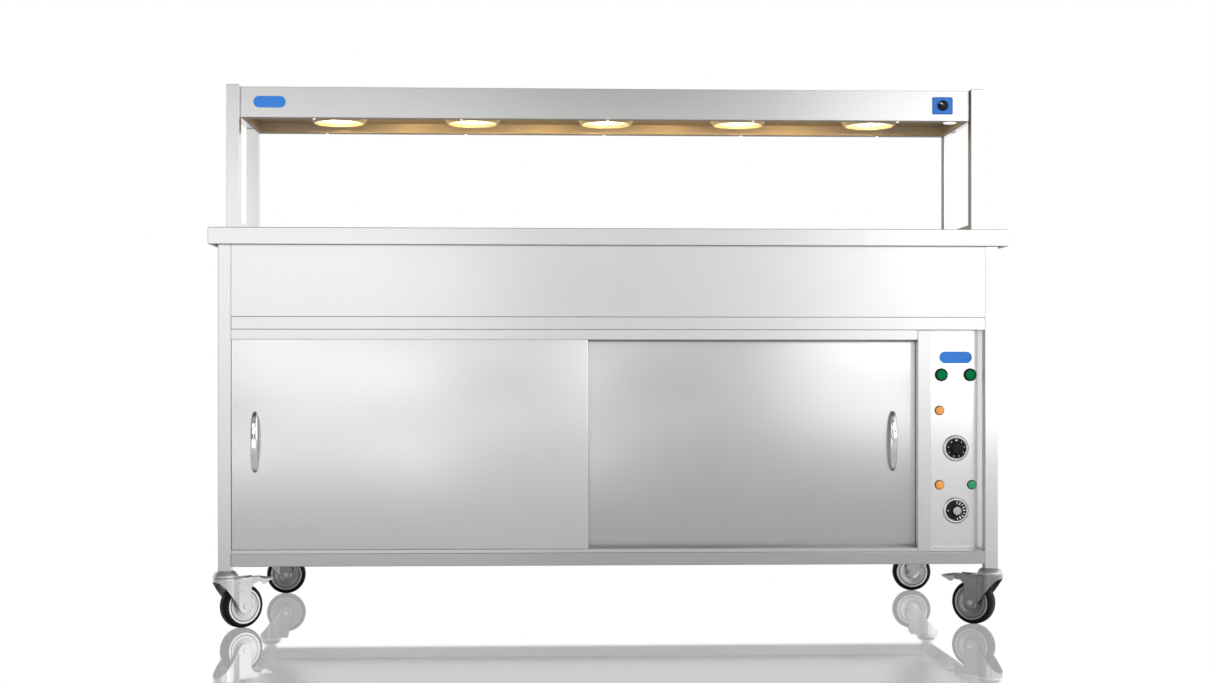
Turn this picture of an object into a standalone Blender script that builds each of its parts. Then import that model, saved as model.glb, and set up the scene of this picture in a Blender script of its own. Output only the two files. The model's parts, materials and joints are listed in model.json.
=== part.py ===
"""Steam table unit: a mobile hot cupboard with a bain-marie top, a heat-lamp gantry and a control column.

Units are metres and +Z is up. The origin is on the floor under the middle of the worktop. The sliding doors
and the controls face -Y, and +X is on the right of someone who stands in front of the doors.
"""

import math

import bmesh
import bpy
from mathutils import Vector

# ---- Driving dimensions --------------------------------------------------------------------------
GAP = 0.0003                    # clearance between pieces that touch on the real unit
SHEET = 0.0015                  # stainless sheet
PANEL_STEP = 0.0005             # front and rear panels behind the faces of the frame
SIDE_STEP = 0.0010              # side panels behind the faces of the posts
CUT_PAST = 0.010                # how far a cutter runs past the face that it opens

TOP_W, TOP_D, TOP_Z = 1.800, 0.700, 0.900          # worktop
TOP_EDGE, TOP_LIP = 0.038, 0.010                   # turned-down edge, and its lip turned inwards
WELL_COUNT, WELL_PITCH = 5, 0.325                  # one full-size gastronorm pan in each well
WELL_W, WELL_D = 0.306, 0.510
TANK_W, TANK_D, TANK_BOTTOM_Z = 1.635, 0.535, 0.725

BODY_W, BODY_D = 1.760, 0.672                      # cupboard outside its posts
TUBE, TUBE_WALL = 0.029, 0.0015                    # square frame tube
POST_BOTTOM_Z = 0.131
BOTTOM_RAIL_Z = 0.1410                             # underside of the bottom rails
MID_RAIL_Z = 0.6725                                # underside of the middle rail
DIVIDER_X = 0.6965                                 # left face of the post between doors and controls

DOOR_T = 0.018                                     # depth of a door tray
DOOR_BOTTOM_Z, DOOR_TOP_Z = 0.1725, 0.6680
OUTER_DOOR_INSET, INNER_DOOR_INSET = 0.0055, 0.027  # door faces behind the frame's face
DOOR_MEETING_LEFT_X, DOOR_MEETING_RIGHT_X = -0.104, -0.052
DOOR_SIDE_GAP = 0.0015
TRACK_INSET, TRACK_LIP_T = 0.0015, 0.0012
TRACK_BACK_Y = -0.288
TRACK_TOP_LIP_Z, TRACK_BOTTOM_LIP_Z = 0.6505, 0.1780
HANDLE_LENGTH, HANDLE_W, HANDLE_REACH, HANDLE_Z = 0.137, 0.016, 0.019, 0.420
HANDLE_LEFT_X, HANDLE_RIGHT_X = -0.798, 0.644

SHELF_Z, SHELF_LIP, SHELF_FRONT_Y = 0.400, 0.025, -0.268
SHELF_SIDE_PLAY, SHELF_BACK_PLAY = 0.001, 0.002

PANEL_RECESS = 0.050                               # control panel behind the frame's face
CONTROL_X = 0.795                                  # centre line of the control column
BUTTON_Z, BUTTON_SPREAD = 0.571, 0.0333
LAMP_SPREAD, UPPER_LAMP_Z, LOWER_LAMP_Z = 0.0375, 0.489, 0.318
KNOB_UPPER_Z, KNOB_LOWER_Z = 0.402, 0.259
BEZEL_R, DIAL_R = 0.0305, 0.0222
COLUMN_FLOOR_INSET = 0.002                         # floor of the recess behind the frame's face

GANTRY_W, GANTRY_D, GANTRY_TOP_Z = 1.790, 0.304, 1.252
GANTRY_TUBE, GANTRY_TOP_RAIL = 0.030, 0.064
CANOPY_INSET, CANOPY_Z, CANOPY_TOP_Z = 0.014, 1.177, 1.249
CANOPY_LIP, CANOPY_END_LIP = 0.025, 0.008
LAMP_PLATE_Z = 1.204
HEAT_LAMP_PITCH, HEAT_LAMP_R, HEAT_LAMP_TRIM_R, HEAT_LAMP_DROP = 0.325, 0.060, 0.075, 0.011
GANTRY_KNOB_X, GANTRY_KNOB_Z = 0.7995, 1.2135

WHEEL_R, WHEEL_W, WHEEL_SIDES = 0.050, 0.032, 24
CASTOR_TRAIL, AXLE_R, AXLE_PLAY = 0.040, 0.0050, 0.0004
LEG_IN_Y, LEG_T = 0.0185, 0.0025                   # inner face of a fork leg from the wheel's middle
HEAD_R, FORK_TOP_Z, HEAD_BOTTOM_Z = 0.0283, 0.1142, 0.1150
PEDAL_PIVOT_X, PEDAL_PIVOT_Z = 0.053, 0.1085
# The way each fork trails, in degrees about +Z from +X.
FRONT_LEFT_HEADING, FRONT_RIGHT_HEADING = 40.0, 142.0
REAR_LEFT_HEADING, REAR_RIGHT_HEADING = 6.0, 174.0

# ---- Places worked out from them -----------------------------------------------------------------
BODY_X = BODY_W / 2
FRONT_Y, BACK_Y = -BODY_D / 2, BODY_D / 2
POST_IN_X = BODY_X - TUBE
POST_IN_Y = BACK_Y - TUBE
TOP_UNDER_Z = TOP_Z - SHEET
BOTTOM_RAIL_TOP = BOTTOM_RAIL_Z + TUBE - 0.0005
MID_RAIL_TOP = MID_RAIL_Z + TUBE
FLOOR_Z = BOTTOM_RAIL_TOP + GAP
CEILING_Z = MID_RAIL_TOP + GAP
OUTER_DOOR_Y = FRONT_Y + OUTER_DOOR_INSET
INNER_DOOR_Y = FRONT_Y + INNER_DOOR_INSET
PANEL_Y = FRONT_Y + PANEL_RECESS
PARTITION_X = DIVIDER_X + 0.014                    # behind the middle of the divider post
FRONT_PANEL_Y, REAR_PANEL_Y = FRONT_Y + PANEL_STEP, BACK_Y - PANEL_STEP
SIDE_PANEL_X = BODY_X - SIDE_STEP
BEHIND_POST_Y = FRONT_Y + TUBE + GAP
GANTRY_X, GANTRY_Y = GANTRY_W / 2, GANTRY_D / 2
CANOPY_X = GANTRY_X - GANTRY_TUBE - GAP
CANOPY_Y = GANTRY_Y - CANOPY_INSET
LEFT_DOOR_X = (-POST_IN_X + DOOR_SIDE_GAP, DOOR_MEETING_RIGHT_X)
RIGHT_DOOR_X = (DOOR_MEETING_LEFT_X, DIVIDER_X - DOOR_SIDE_GAP)


# ---- Scene and materials -------------------------------------------------------------------------
def clear_scene():
    for old in list(bpy.data.objects):
        bpy.data.objects.remove(old, do_unlink=True)


def make_material(name, colour, metallic, roughness):
    material = bpy.data.materials.new(name)
    material.use_nodes = True
    shader = material.node_tree.nodes["Principled BSDF"]
    shader.inputs["Base Color"].default_value = (*colour, 1.0)
    shader.inputs["Metallic"].default_value = metallic
    shader.inputs["Roughness"].default_value = roughness
    material.diffuse_color = (*colour, 1.0)
    return material


def make_materials():
    return {
        "stainless": make_material("stainless", (0.62, 0.62, 0.61), 1.0, 0.35),
        "stainless_inside": make_material("stainless_inside", (0.50, 0.50, 0.49), 1.0, 0.45),
        "chrome": make_material("chrome", (0.80, 0.80, 0.81), 1.0, 0.08),
        "zinc": make_material("zinc", (0.55, 0.56, 0.57), 1.0, 0.30),
        "black_plastic": make_material("black_plastic", (0.02, 0.02, 0.02), 0.0, 0.35),
        "wheel": make_material("wheel", (0.10, 0.10, 0.10), 0.0, 0.60),
        "green": make_material("green", (0.00, 0.23, 0.08), 0.0, 0.30),
        "orange": make_material("orange", (0.90, 0.35, 0.04), 0.0, 0.30),
        "blue": make_material("blue", (0.04, 0.20, 0.70), 0.0, 0.40),
        "lamp_glass": make_material("lamp_glass", (1.00, 0.85, 0.45), 0.0, 0.20),
    }


# ---- Mesh helpers --------------------------------------------------------------------------------
def add_object(name, bm, material, at=(0, 0, 0), parent=None):
    """Turn a mesh whose points are relative to `at` into an object there."""
    bmesh.ops.recalc_face_normals(bm, faces=bm.faces)
    mesh = bpy.data.meshes.new(name)
    bm.to_mesh(mesh)
    bm.free()
    mesh.materials.append(material)
    obj = bpy.data.objects.new(name, mesh)
    bpy.context.scene.collection.objects.link(obj)
    obj.location = at
    obj.parent = parent
    return obj


def add_empty(name, at, heading=0.0):
    empty = bpy.data.objects.new(name, None)
    bpy.context.scene.collection.objects.link(empty)
    empty.location = at
    empty.rotation_euler = (0, 0, math.radians(heading))
    return empty


def add_box(bm, low, high):
    x_ends, y_ends, z_ends = zip(low, high)
    corners = [Vector((x, y, z)) for x in x_ends for y in y_ends for z in z_ends]
    verts = [bm.verts.new(corner) for corner in corners]
    for quad in ((0, 1, 3, 2), (4, 6, 7, 5), (0, 4, 5, 1), (2, 3, 7, 6), (0, 2, 6, 4), (1, 5, 7, 3)):
        bm.faces.new([verts[i] for i in quad])


def block(name, low, high, material, parent=None):
    """A plain cuboid between two corners, with its origin at its middle."""
    low, high = Vector(low), Vector(high)
    middle = (low + high) / 2
    bm = bmesh.new()
    add_box(bm, low - middle, high - middle)
    return add_object(name, bm, material, middle, parent)


def on_axis(axis, along, across):
    """A point `along` the axis, with its two other coordinates in X, Y, Z order."""
    point = list(across)
    point.insert("XYZ".index(axis), along)
    return Vector(point)


def prism(name, outline, axis, start, end, material, at=(0, 0, 0), parent=None):
    """A closed outline, in the plane across the axis, carried from start to end along it."""
    bm = bmesh.new()
    near = [bm.verts.new(on_axis(axis, start, point)) for point in outline]
    far = [bm.verts.new(on_axis(axis, end, point)) for point in outline]
    bm.faces.new(near)
    bm.faces.new(list(reversed(far)))
    count = len(outline)
    for i in range(count):
        j = (i + 1) % count
        bm.faces.new((near[i], far[i], far[j], near[j]))
    return add_object(name, bm, material, at, parent)


def square_tube(name, low, high, axis, material):
    """A square hollow section, open at both ends."""
    low, high = Vector(low), Vector(high)
    middle = (low + high) / 2
    size = high - low
    run = "XYZ".index(axis)
    sides = [i for i in range(3) if i != run]
    bm = bmesh.new()
    rings = []
    for end in (-size[run] / 2, size[run] / 2):
        for wall in (0.0, TUBE_WALL):
            half = [size[i] / 2 - wall for i in sides]
            corners = ((-half[0], -half[1]), (half[0], -half[1]), (half[0], half[1]), (-half[0], half[1]))
            rings.append([bm.verts.new(on_axis(axis, end, corner)) for corner in corners])
    outer_near, inner_near, outer_far, inner_far = rings
    for i in range(4):
        j = (i + 1) % 4
        bm.faces.new((outer_near[i], outer_near[j], outer_far[j], outer_far[i]))
        bm.faces.new((inner_near[j], inner_near[i], inner_far[i], inner_far[j]))
        bm.faces.new((outer_near[j], outer_near[i], inner_near[i], inner_near[j]))
        bm.faces.new((outer_far[i], outer_far[j], inner_far[j], inner_far[i]))
    return add_object(name, bm, material, middle)


def turned(name, profile, material, at, axis="Y", sides=32, ring=False, parent=None, smooth_angle=40):
    """A profile of (radius, distance along the axis) turned about the axis. A ring has a hole along it."""
    bm = bmesh.new()
    rows = []
    for radius, along in profile:
        if radius == 0:
            rows.append([bm.verts.new(on_axis(axis, along, (0, 0)))])
            continue
        row = []
        for i in range(sides):
            angle = 2 * math.pi * (i + 0.5) / sides
            across = (radius * math.cos(angle), radius * math.sin(angle))
            row.append(bm.verts.new(on_axis(axis, along, across)))
        rows.append(row)
    pairs = list(zip(rows, rows[1:]))
    if ring:
        pairs.append((rows[-1], rows[0]))
    for first, second in pairs:
        for i in range(sides):
            j = (i + 1) % sides
            corners = (first[i % len(first)], first[j % len(first)],
                       second[j % len(second)], second[i % len(second)])
            bm.faces.new(list(dict.fromkeys(corners)))
    obj = add_object(name, bm, material, at, parent=parent)
    obj.data.shade_smooth()
    obj.data.set_sharp_from_angle(angle=math.radians(smooth_angle))
    return obj


def as_tool(tool):
    """Mark an object that only shapes another one."""
    tool.hide_render = True
    tool.display_type = "WIRE"
    return tool


def combine(target, tool, operation):
    modifier = target.modifiers.new(operation.lower(), "BOOLEAN")
    modifier.operation = operation
    modifier.solver = "EXACT"
    modifier.object = as_tool(tool)


def cut_box(target, low, high):
    tool = block(f"{target.name}_cut", low, high, target.data.materials[0])
    combine(target, tool, "DIFFERENCE")


def drill_profile(radius):
    return ((0, -CUT_PAST), (radius, -CUT_PAST), (radius, CUT_PAST), (0, CUT_PAST))


def arc_points(centre, radius, start, end, count):
    """Points on an arc between two angles in degrees, both ends included."""
    points = []
    for i in range(count):
        angle = math.radians(start + (end - start) * i / (count - 1))
        points.append((centre[0] + radius * math.cos(angle), centre[1] + radius * math.sin(angle)))
    return points


# ---- Cupboard frame ------------------------------------------------------------------------------
def build_frame(mats):
    metal = mats["stainless"]
    for side, x in (("left", -BODY_X), ("right", POST_IN_X)):
        for end, y in (("front", FRONT_Y), ("rear", POST_IN_Y)):
            low = (x, y, POST_BOTTOM_Z)
            high = (x + TUBE, y + TUBE, TOP_UNDER_Z - GAP)
            square_tube(f"post_{end}_{side}", low, high, "Z", metal)
    reach = POST_IN_X - GAP
    front, back = (FRONT_Y, FRONT_Y + TUBE), (POST_IN_Y, BACK_Y)
    rails = (("rail_bottom_front", front, BOTTOM_RAIL_Z, BOTTOM_RAIL_TOP),
             ("rail_bottom_rear", back, BOTTOM_RAIL_Z, BOTTOM_RAIL_TOP),
             ("rail_mid_front", front, MID_RAIL_Z, MID_RAIL_TOP))
    for name, (y0, y1), z0, z1 in rails:
        square_tube(name, (-reach, y0, z0), (reach, y1, z1), "X", metal)
    low = (DIVIDER_X, FRONT_Y, BOTTOM_RAIL_TOP + GAP)
    high = (DIVIDER_X + TUBE, FRONT_Y + TUBE, MID_RAIL_Z - GAP)
    square_tube("divider_post", low, high, "Z", metal)


# ---- Cupboard panels -----------------------------------------------------------------------------
def deck_outline(front_y, column_front_y):
    """Plan of a full-width sheet that fits round the rear posts and reaches forward beside the controls."""
    wide_x, narrow_x = SIDE_PANEL_X - SHEET - GAP, POST_IN_X - GAP
    post_y, back_y = POST_IN_Y - GAP, REAR_PANEL_Y - SHEET - GAP
    column_x = DIVIDER_X + TUBE + GAP
    return ((-wide_x, front_y), (column_x, front_y), (column_x, column_front_y), (narrow_x, column_front_y),
            (narrow_x, BEHIND_POST_Y), (wide_x, BEHIND_POST_Y), (wide_x, post_y), (narrow_x, post_y),
            (narrow_x, back_y), (-narrow_x, back_y), (-narrow_x, post_y), (-wide_x, post_y))


def build_panels(mats):
    outside, inside = mats["stainless"], mats["stainless_inside"]
    reach = POST_IN_X - GAP
    top = TOP_UNDER_Z - GAP
    block("upper_front_panel", (-reach, FRONT_PANEL_Y, CEILING_Z),
          (reach, FRONT_PANEL_Y + SHEET, top), outside)
    block("rear_panel", (-reach, REAR_PANEL_Y - SHEET, FLOOR_Z), (reach, REAR_PANEL_Y, top), outside)
    side_y = POST_IN_Y - GAP
    for side, sign in (("left", -1), ("right", 1)):
        outer, inner = sign * SIDE_PANEL_X, sign * (SIDE_PANEL_X - SHEET)
        low = (min(outer, inner), -side_y, BOTTOM_RAIL_Z)
        high = (max(outer, inner), side_y, top)
        block(f"side_panel_{side}", low, high, outside)
    floor = deck_outline(TRACK_BACK_Y + GAP, FRONT_Y + COLUMN_FLOOR_INSET)
    prism("cupboard_floor", floor, "Z", FLOOR_Z, FLOOR_Z + SHEET, inside)
    ceiling = deck_outline(BEHIND_POST_Y, FRONT_PANEL_Y + 2 * SHEET + GAP)
    prism("cupboard_ceiling", ceiling, "Z", CEILING_Z, CEILING_Z + SHEET, inside)

    deck_z = FLOOR_Z + SHEET + GAP
    block("control_partition", (PARTITION_X, BEHIND_POST_Y, deck_z),
          (PARTITION_X + SHEET, REAR_PANEL_Y - SHEET - GAP, CEILING_Z - GAP), inside)
    y0, y1 = SHELF_FRONT_Y, POST_IN_Y - SHELF_BACK_PLAY
    shelf = ((y0, SHELF_Z - SHELF_LIP), (y0 + SHEET, SHELF_Z - SHELF_LIP), (y0 + SHEET, SHELF_Z),
             (y1, SHELF_Z), (y1, SHELF_Z + SHEET), (y0, SHELF_Z + SHEET))
    prism("cupboard_shelf", shelf, "X", SHEET + SHELF_SIDE_PLAY - SIDE_PANEL_X, PARTITION_X - GAP, inside)
    build_control_panel(outside, deck_z)


def build_control_panel(metal, bottom_z):
    """The recessed panel, with a return on each side towards the posts, and holes for what it carries."""
    x0, x1 = PARTITION_X + SHEET + GAP, POST_IN_X + SHEET
    y0, y1 = BEHIND_POST_Y, PANEL_Y + SHEET
    outline = ((x0, y0), (x0 + SHEET, y0), (x0 + SHEET, PANEL_Y), (x1 - SHEET, PANEL_Y),
               (x1 - SHEET, y0), (x1, y0), (x1, y1), (x0, y1))
    panel = prism("control_panel", outline, "Z", bottom_z, CEILING_Z - GAP, metal)
    button_hole_r, lamp_hole_r, shaft_hole_r = 0.0114, 0.0078, 0.0050
    holes = ((-BUTTON_SPREAD, BUTTON_Z, button_hole_r), (BUTTON_SPREAD, BUTTON_Z, button_hole_r),
             (-LAMP_SPREAD, UPPER_LAMP_Z, lamp_hole_r), (-LAMP_SPREAD, LOWER_LAMP_Z, lamp_hole_r),
             (LAMP_SPREAD, LOWER_LAMP_Z, lamp_hole_r),
             (0, KNOB_UPPER_Z, shaft_hole_r), (0, KNOB_LOWER_Z, shaft_hole_r))
    for offset, z, radius in holes:
        drill = turned("panel_hole", drill_profile(radius), metal, (CONTROL_X + offset, PANEL_Y, z), sides=14)
        combine(panel, drill, "DIFFERENCE")


# ---- Doors ---------------------------------------------------------------------------------------
def track_outline(web_low, web_high, lip_end):
    """Section of a door track, as (y, z): one web and three lips, the doors running between them."""
    front = FRONT_Y + TRACK_INSET
    middle = (OUTER_DOOR_Y + DOOR_T + INNER_DOOR_Y) / 2 - TRACK_LIP_T / 2
    back = TRACK_BACK_Y - TRACK_LIP_T
    web_in, web_out = (web_low, web_high) if lip_end < web_low else (web_high, web_low)
    points = [(front, web_out)]
    for y in (front, middle, back):
        points += [(y, web_in), (y, lip_end), (y + TRACK_LIP_T, lip_end), (y + TRACK_LIP_T, web_in)]
    points.append((TRACK_BACK_Y, web_out))
    return [point for i, point in enumerate(points) if i == 0 or point != points[i - 1]]


def door_tray(name, x_range, face_y, metal):
    """A pressed door: a face and four returns, open at the back."""
    low = (x_range[0], face_y, DOOR_BOTTOM_Z)
    high = (x_range[1], face_y + DOOR_T, DOOR_TOP_Z)
    door = block(name, low, high, metal)
    inside_low = (low[0] + SHEET, face_y + SHEET, low[2] + SHEET)
    inside_high = (high[0] - SHEET, high[1] + CUT_PAST, high[2] - SHEET)
    cut_box(door, inside_low, inside_high)
    return door


def bow_handle(name, x, face_y, metal, door):
    """A flat bow that stands off the door, with a foot at each end."""
    half, rise = HANDLE_LENGTH / 2, HANDLE_REACH - GAP
    thick, foot, count = 0.006, 0.012, 13
    outer_power, inner_power = 2.6, 2.2
    outer, inner = [], []
    for i in range(count):
        s = -1 + 2 * i / (count - 1)
        outer.append((-rise * (1 - abs(s) ** outer_power), s * half))
        inner.append((-(rise - thick) * (1 - abs(s) ** inner_power), s * (half - foot)))
    outline = outer + list(reversed(inner))
    bow = prism(name, outline, "X", -HANDLE_W / 2, HANDLE_W / 2, metal, (x, face_y - GAP, HANDLE_Z))
    bow.location -= door.location
    bow.parent = door
    return bow


def build_doors(mats):
    metal = mats["stainless"]
    x0, x1 = -(POST_IN_X - GAP), DIVIDER_X - GAP
    top_section = track_outline(MID_RAIL_Z - GAP - SHEET, MID_RAIL_Z - GAP, TRACK_TOP_LIP_Z)
    bottom_section = track_outline(FLOOR_Z, FLOOR_Z + TRACK_LIP_T, TRACK_BOTTOM_LIP_Z)
    prism("door_track_top", top_section, "X", x0, x1, metal)
    prism("door_track_bottom", bottom_section, "X", x0, x1, metal)
    left = door_tray("door_left", LEFT_DOOR_X, OUTER_DOOR_Y, metal)
    right = door_tray("door_right", RIGHT_DOOR_X, INNER_DOOR_Y, metal)
    bow_handle("door_left_handle", HANDLE_LEFT_X, OUTER_DOOR_Y, mats["chrome"], left)
    bow_handle("door_right_handle", HANDLE_RIGHT_X, INNER_DOOR_Y, mats["chrome"], right)


# ---- Worktop, tank and element -------------------------------------------------------------------
def build_worktop(mats):
    x, y, low_z = TOP_W / 2, TOP_D / 2, TOP_Z - TOP_EDGE
    worktop = block("worktop", (-x, -y, low_z), (x, y, TOP_Z), mats["stainless"])
    cut_box(worktop, (SHEET - x, SHEET - y, low_z + SHEET), (x - SHEET, y - SHEET, TOP_UNDER_Z))
    lip = SHEET + TOP_LIP
    cut_box(worktop, (lip - x, lip - y, low_z - CUT_PAST), (x - lip, y - lip, low_z + CUT_PAST))
    for i in range(WELL_COUNT):
        centre = (i - (WELL_COUNT - 1) / 2) * WELL_PITCH
        cut_box(worktop, (centre - WELL_W / 2, -WELL_D / 2, TOP_UNDER_Z - CUT_PAST),
                (centre + WELL_W / 2, WELL_D / 2, TOP_Z + CUT_PAST))

    half_w, half_d = TANK_W / 2, TANK_D / 2
    tank = block("bain_marie_tank", (-half_w, -half_d, TANK_BOTTOM_Z), (half_w, half_d, TOP_UNDER_Z - GAP),
                 mats["stainless_inside"])
    cut_box(tank, (SHEET - half_w, SHEET - half_d, TANK_BOTTOM_Z + SHEET),
            (half_w - SHEET, half_d - SHEET, TOP_Z + CUT_PAST))
    build_heating_element(mats["zinc"])


def build_heating_element(metal):
    """One tube bent to and fro along the floor of the tank, its two ends side by side."""
    rod_r, bend_r, reach, runs = 0.00425, 0.055, 0.72, 4
    z = TANK_BOTTOM_Z + SHEET + GAP + rod_r
    route = []
    for run in range(runs):
        y = (run - (runs - 1) / 2) * 2 * bend_r
        sign = 1 if run % 2 == 0 else -1
        route.append((-sign * reach, y))
        route.append((sign * reach, y))
        if run < runs - 1:
            turn = arc_points((0, y + bend_r), bend_r, -90, 90, 7)
            route += [(sign * (reach + x), v) for x, v in turn[1:-1]]
    curve = bpy.data.curves.new("heating_element", "CURVE")
    curve.dimensions = "3D"
    curve.bevel_depth = rod_r
    curve.bevel_resolution = 2
    curve.use_fill_caps = True
    curve.materials.append(metal)
    spline = curve.splines.new("POLY")
    spline.points.add(len(route) - 1)
    for point, (x, y) in zip(spline.points, route):
        point.co = (x, y, 0, 1)
    element = bpy.data.objects.new("heating_element", curve)
    bpy.context.scene.collection.objects.link(element)
    element.location = (0, 0, z)


# ---- Gantry --------------------------------------------------------------------------------------
def gantry_frame(side, sign, metal):
    """Two posts, a base rail and a deep top rail welded into one hollow frame, open under its posts."""
    x0, x1 = sorted((sign * GANTRY_X, sign * (GANTRY_X - GANTRY_TUBE)))
    low_z, t, wall = TOP_Z + GAP, GANTRY_TUBE, TUBE_WALL
    rail_z = GANTRY_TOP_Z - GANTRY_TOP_RAIL
    frame = block(f"gantry_frame_{side}", (x0, -GANTRY_Y, low_z), (x1, GANTRY_Y, GANTRY_TOP_Z), metal)
    cut_box(frame, (x0 - CUT_PAST, t - GANTRY_Y, low_z + t), (x1 + CUT_PAST, GANTRY_Y - t, rail_z))
    inner_y, post_y, rail_y = GANTRY_Y - wall, GANTRY_Y - t + wall, GANTRY_Y - 2 * wall
    bores = ((-inner_y, -post_y, low_z - CUT_PAST, GANTRY_TOP_Z - wall),
             (post_y, inner_y, low_z - CUT_PAST, GANTRY_TOP_Z - wall),
             (-rail_y, rail_y, low_z + wall, low_z + t - wall),
             (-rail_y, rail_y, rail_z + wall, GANTRY_TOP_Z - 2 * wall))
    for y0, y1, z0, z1 in bores:
        cut_box(frame, (x0 + wall, y0, z0), (x1 - wall, y1, z1))


def heat_lamp(index, x, glass):
    """A round lamp: trim and lens below the plate, its body above."""
    trim_z = LAMP_PLATE_Z - GAP
    lens_z = LAMP_PLATE_Z - HEAT_LAMP_DROP
    body_top_z = CANOPY_TOP_Z - 0.008
    body_r = HEAT_LAMP_R - 0.003
    profile = ((0, lens_z - 0.004), (HEAT_LAMP_R * 0.6, lens_z - 0.003), (HEAT_LAMP_R, lens_z),
               (HEAT_LAMP_TRIM_R, trim_z - 0.003), (HEAT_LAMP_TRIM_R, trim_z), (body_r, trim_z),
               (body_r, body_top_z - 0.010), (body_r - 0.012, body_top_z), (0, body_top_z))
    local = [(radius, along - LAMP_PLATE_Z) for radius, along in profile]
    turned(f"heat_lamp_{index}", local, glass, (x, 0, LAMP_PLATE_Z), axis="Z", sides=20)


def build_gantry(mats):
    metal = mats["stainless"]
    gantry_frame("left", -1, metal)
    gantry_frame("right", 1, metal)
    x, y = CANOPY_X, CANOPY_Y
    canopy = block("gantry_canopy", (-x, -y, CANOPY_Z), (x, y, CANOPY_TOP_Z), metal)
    cut_box(canopy, (SHEET - x, SHEET - y, CANOPY_Z + SHEET), (x - SHEET, y - SHEET, CANOPY_TOP_Z - SHEET))
    cut_box(canopy, (CANOPY_END_LIP - x, CANOPY_LIP - y, CANOPY_Z - CUT_PAST),
            (x - CANOPY_END_LIP, y - CANOPY_LIP, CANOPY_Z + CUT_PAST))
    inner_x, inner_y, plate_top_z = x - SHEET - GAP, y - SHEET - GAP, LAMP_PLATE_Z + SHEET
    plate = block("gantry_lamp_plate", (-inner_x, -inner_y, LAMP_PLATE_Z), (inner_x, inner_y, plate_top_z),
                  mats["stainless_inside"])
    hole = drill_profile(HEAT_LAMP_R)
    for i in range(WELL_COUNT):
        lamp_x = (i - (WELL_COUNT - 1) / 2) * HEAT_LAMP_PITCH
        cutter = turned("lamp_hole", hole, metal, (lamp_x, 0, LAMP_PLATE_Z), axis="Z", sides=20)
        combine(plate, cutter, "DIFFERENCE")
        heat_lamp(i + 1, lamp_x, mats["lamp_glass"])
    build_gantry_knob(mats)


def build_gantry_knob(mats):
    face_y = -CANOPY_Y - GAP
    half_w, half_h, corner, plate_t = 0.0245, 0.0205, 0.003, 0.0015
    outline = []
    for sx, sz, start in ((1, 1, 0), (-1, 1, 90), (-1, -1, 180), (1, -1, 270)):
        centre = (sx * (half_w - corner), sz * (half_h - corner))
        outline += arc_points(centre, corner, start, start + 90, 4)
    plate_at = (GANTRY_KNOB_X, face_y, GANTRY_KNOB_Z)
    prism("gantry_knob_plate", outline, "Y", -plate_t, 0, mats["blue"], plate_at)
    knob_y = face_y - plate_t - GAP
    profile = ((0, 0), (0.0125, 0), (0.0125, -0.004), (0.0110, -0.0125), (0.0098, -0.0135), (0, -0.0135))
    turned("gantry_knob", profile, mats["black_plastic"], (GANTRY_KNOB_X, knob_y, GANTRY_KNOB_Z), sides=20)


# ---- Controls ------------------------------------------------------------------------------------
def build_buttons_and_lamps(mats):
    for side, sign in (("left", -1), ("right", 1)):
        profile = ((0, -0.0075), (0.0108, -0.0075), (0.0112, -0.0070), (0.0112, -0.0045), (0.0100, -0.0040),
                   (0.0100, 0.0120), (0, 0.0120))
        at = (CONTROL_X + sign * BUTTON_SPREAD, PANEL_Y, BUTTON_Z)
        turned(f"push_button_{side}", profile, mats["green"], at, sides=18)
    lamps = (("upper", -1, UPPER_LAMP_Z, "orange"), ("lower_left", -1, LOWER_LAMP_Z, "orange"),
             ("lower_right", 1, LOWER_LAMP_Z, "green"))
    for name, sign, z, colour in lamps:
        profile = ((0, -0.0095), (0.0085, -0.0095), (0.0095, -0.0082), (0.0097, -0.0025), (0.0112, -0.0022),
                   (0.0112, -GAP), (0.0074, -GAP), (0.0074, 0.0200), (0, 0.0200))
        at = (CONTROL_X + sign * LAMP_SPREAD, PANEL_Y, z)
        turned(f"indicator_{name}", profile, mats[colour], at, sides=18)


def control_knob(name, z, mats, grip_r, grip_reach, lobes, lobe_depth):
    """A round dial with a grip in the middle, on a shaft that passes through the bezel and the panel."""
    sides = 36
    rows = ((0.0030, 0.0150, 0), (0.0030, -0.0008, 0), (0.0222, -0.0008, 0), (DIAL_R, -0.0060, 0),
            (DIAL_R - 0.0012, -0.0075, 0), (grip_r + lobe_depth + 0.0006, -0.0078, 0), (grip_r, -0.0082, 1),
            (grip_r - 0.0004, -grip_reach + 0.0012, 1), (grip_r - 0.0018, -grip_reach, 1))
    bm = bmesh.new()
    rings = []
    for radius, along, lobed in rows:
        ring = []
        for i in range(sides):
            angle = 2 * math.pi * i / sides
            r = radius + lobed * lobe_depth * math.cos(lobes * angle)
            ring.append(bm.verts.new((r * math.cos(angle), along, r * math.sin(angle))))
        rings.append(ring)
    for first, second in zip(rings, rings[1:]):
        for i in range(sides):
            j = (i + 1) % sides
            bm.faces.new((first[i], first[j], second[j], second[i]))
    bm.faces.new(rings[0])
    bm.faces.new(rings[-1])
    knob = add_object(name, bm, mats["black_plastic"], (CONTROL_X, PANEL_Y, z))
    knob.data.shade_smooth()
    knob.data.set_sharp_from_angle(angle=math.radians(35))


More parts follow.
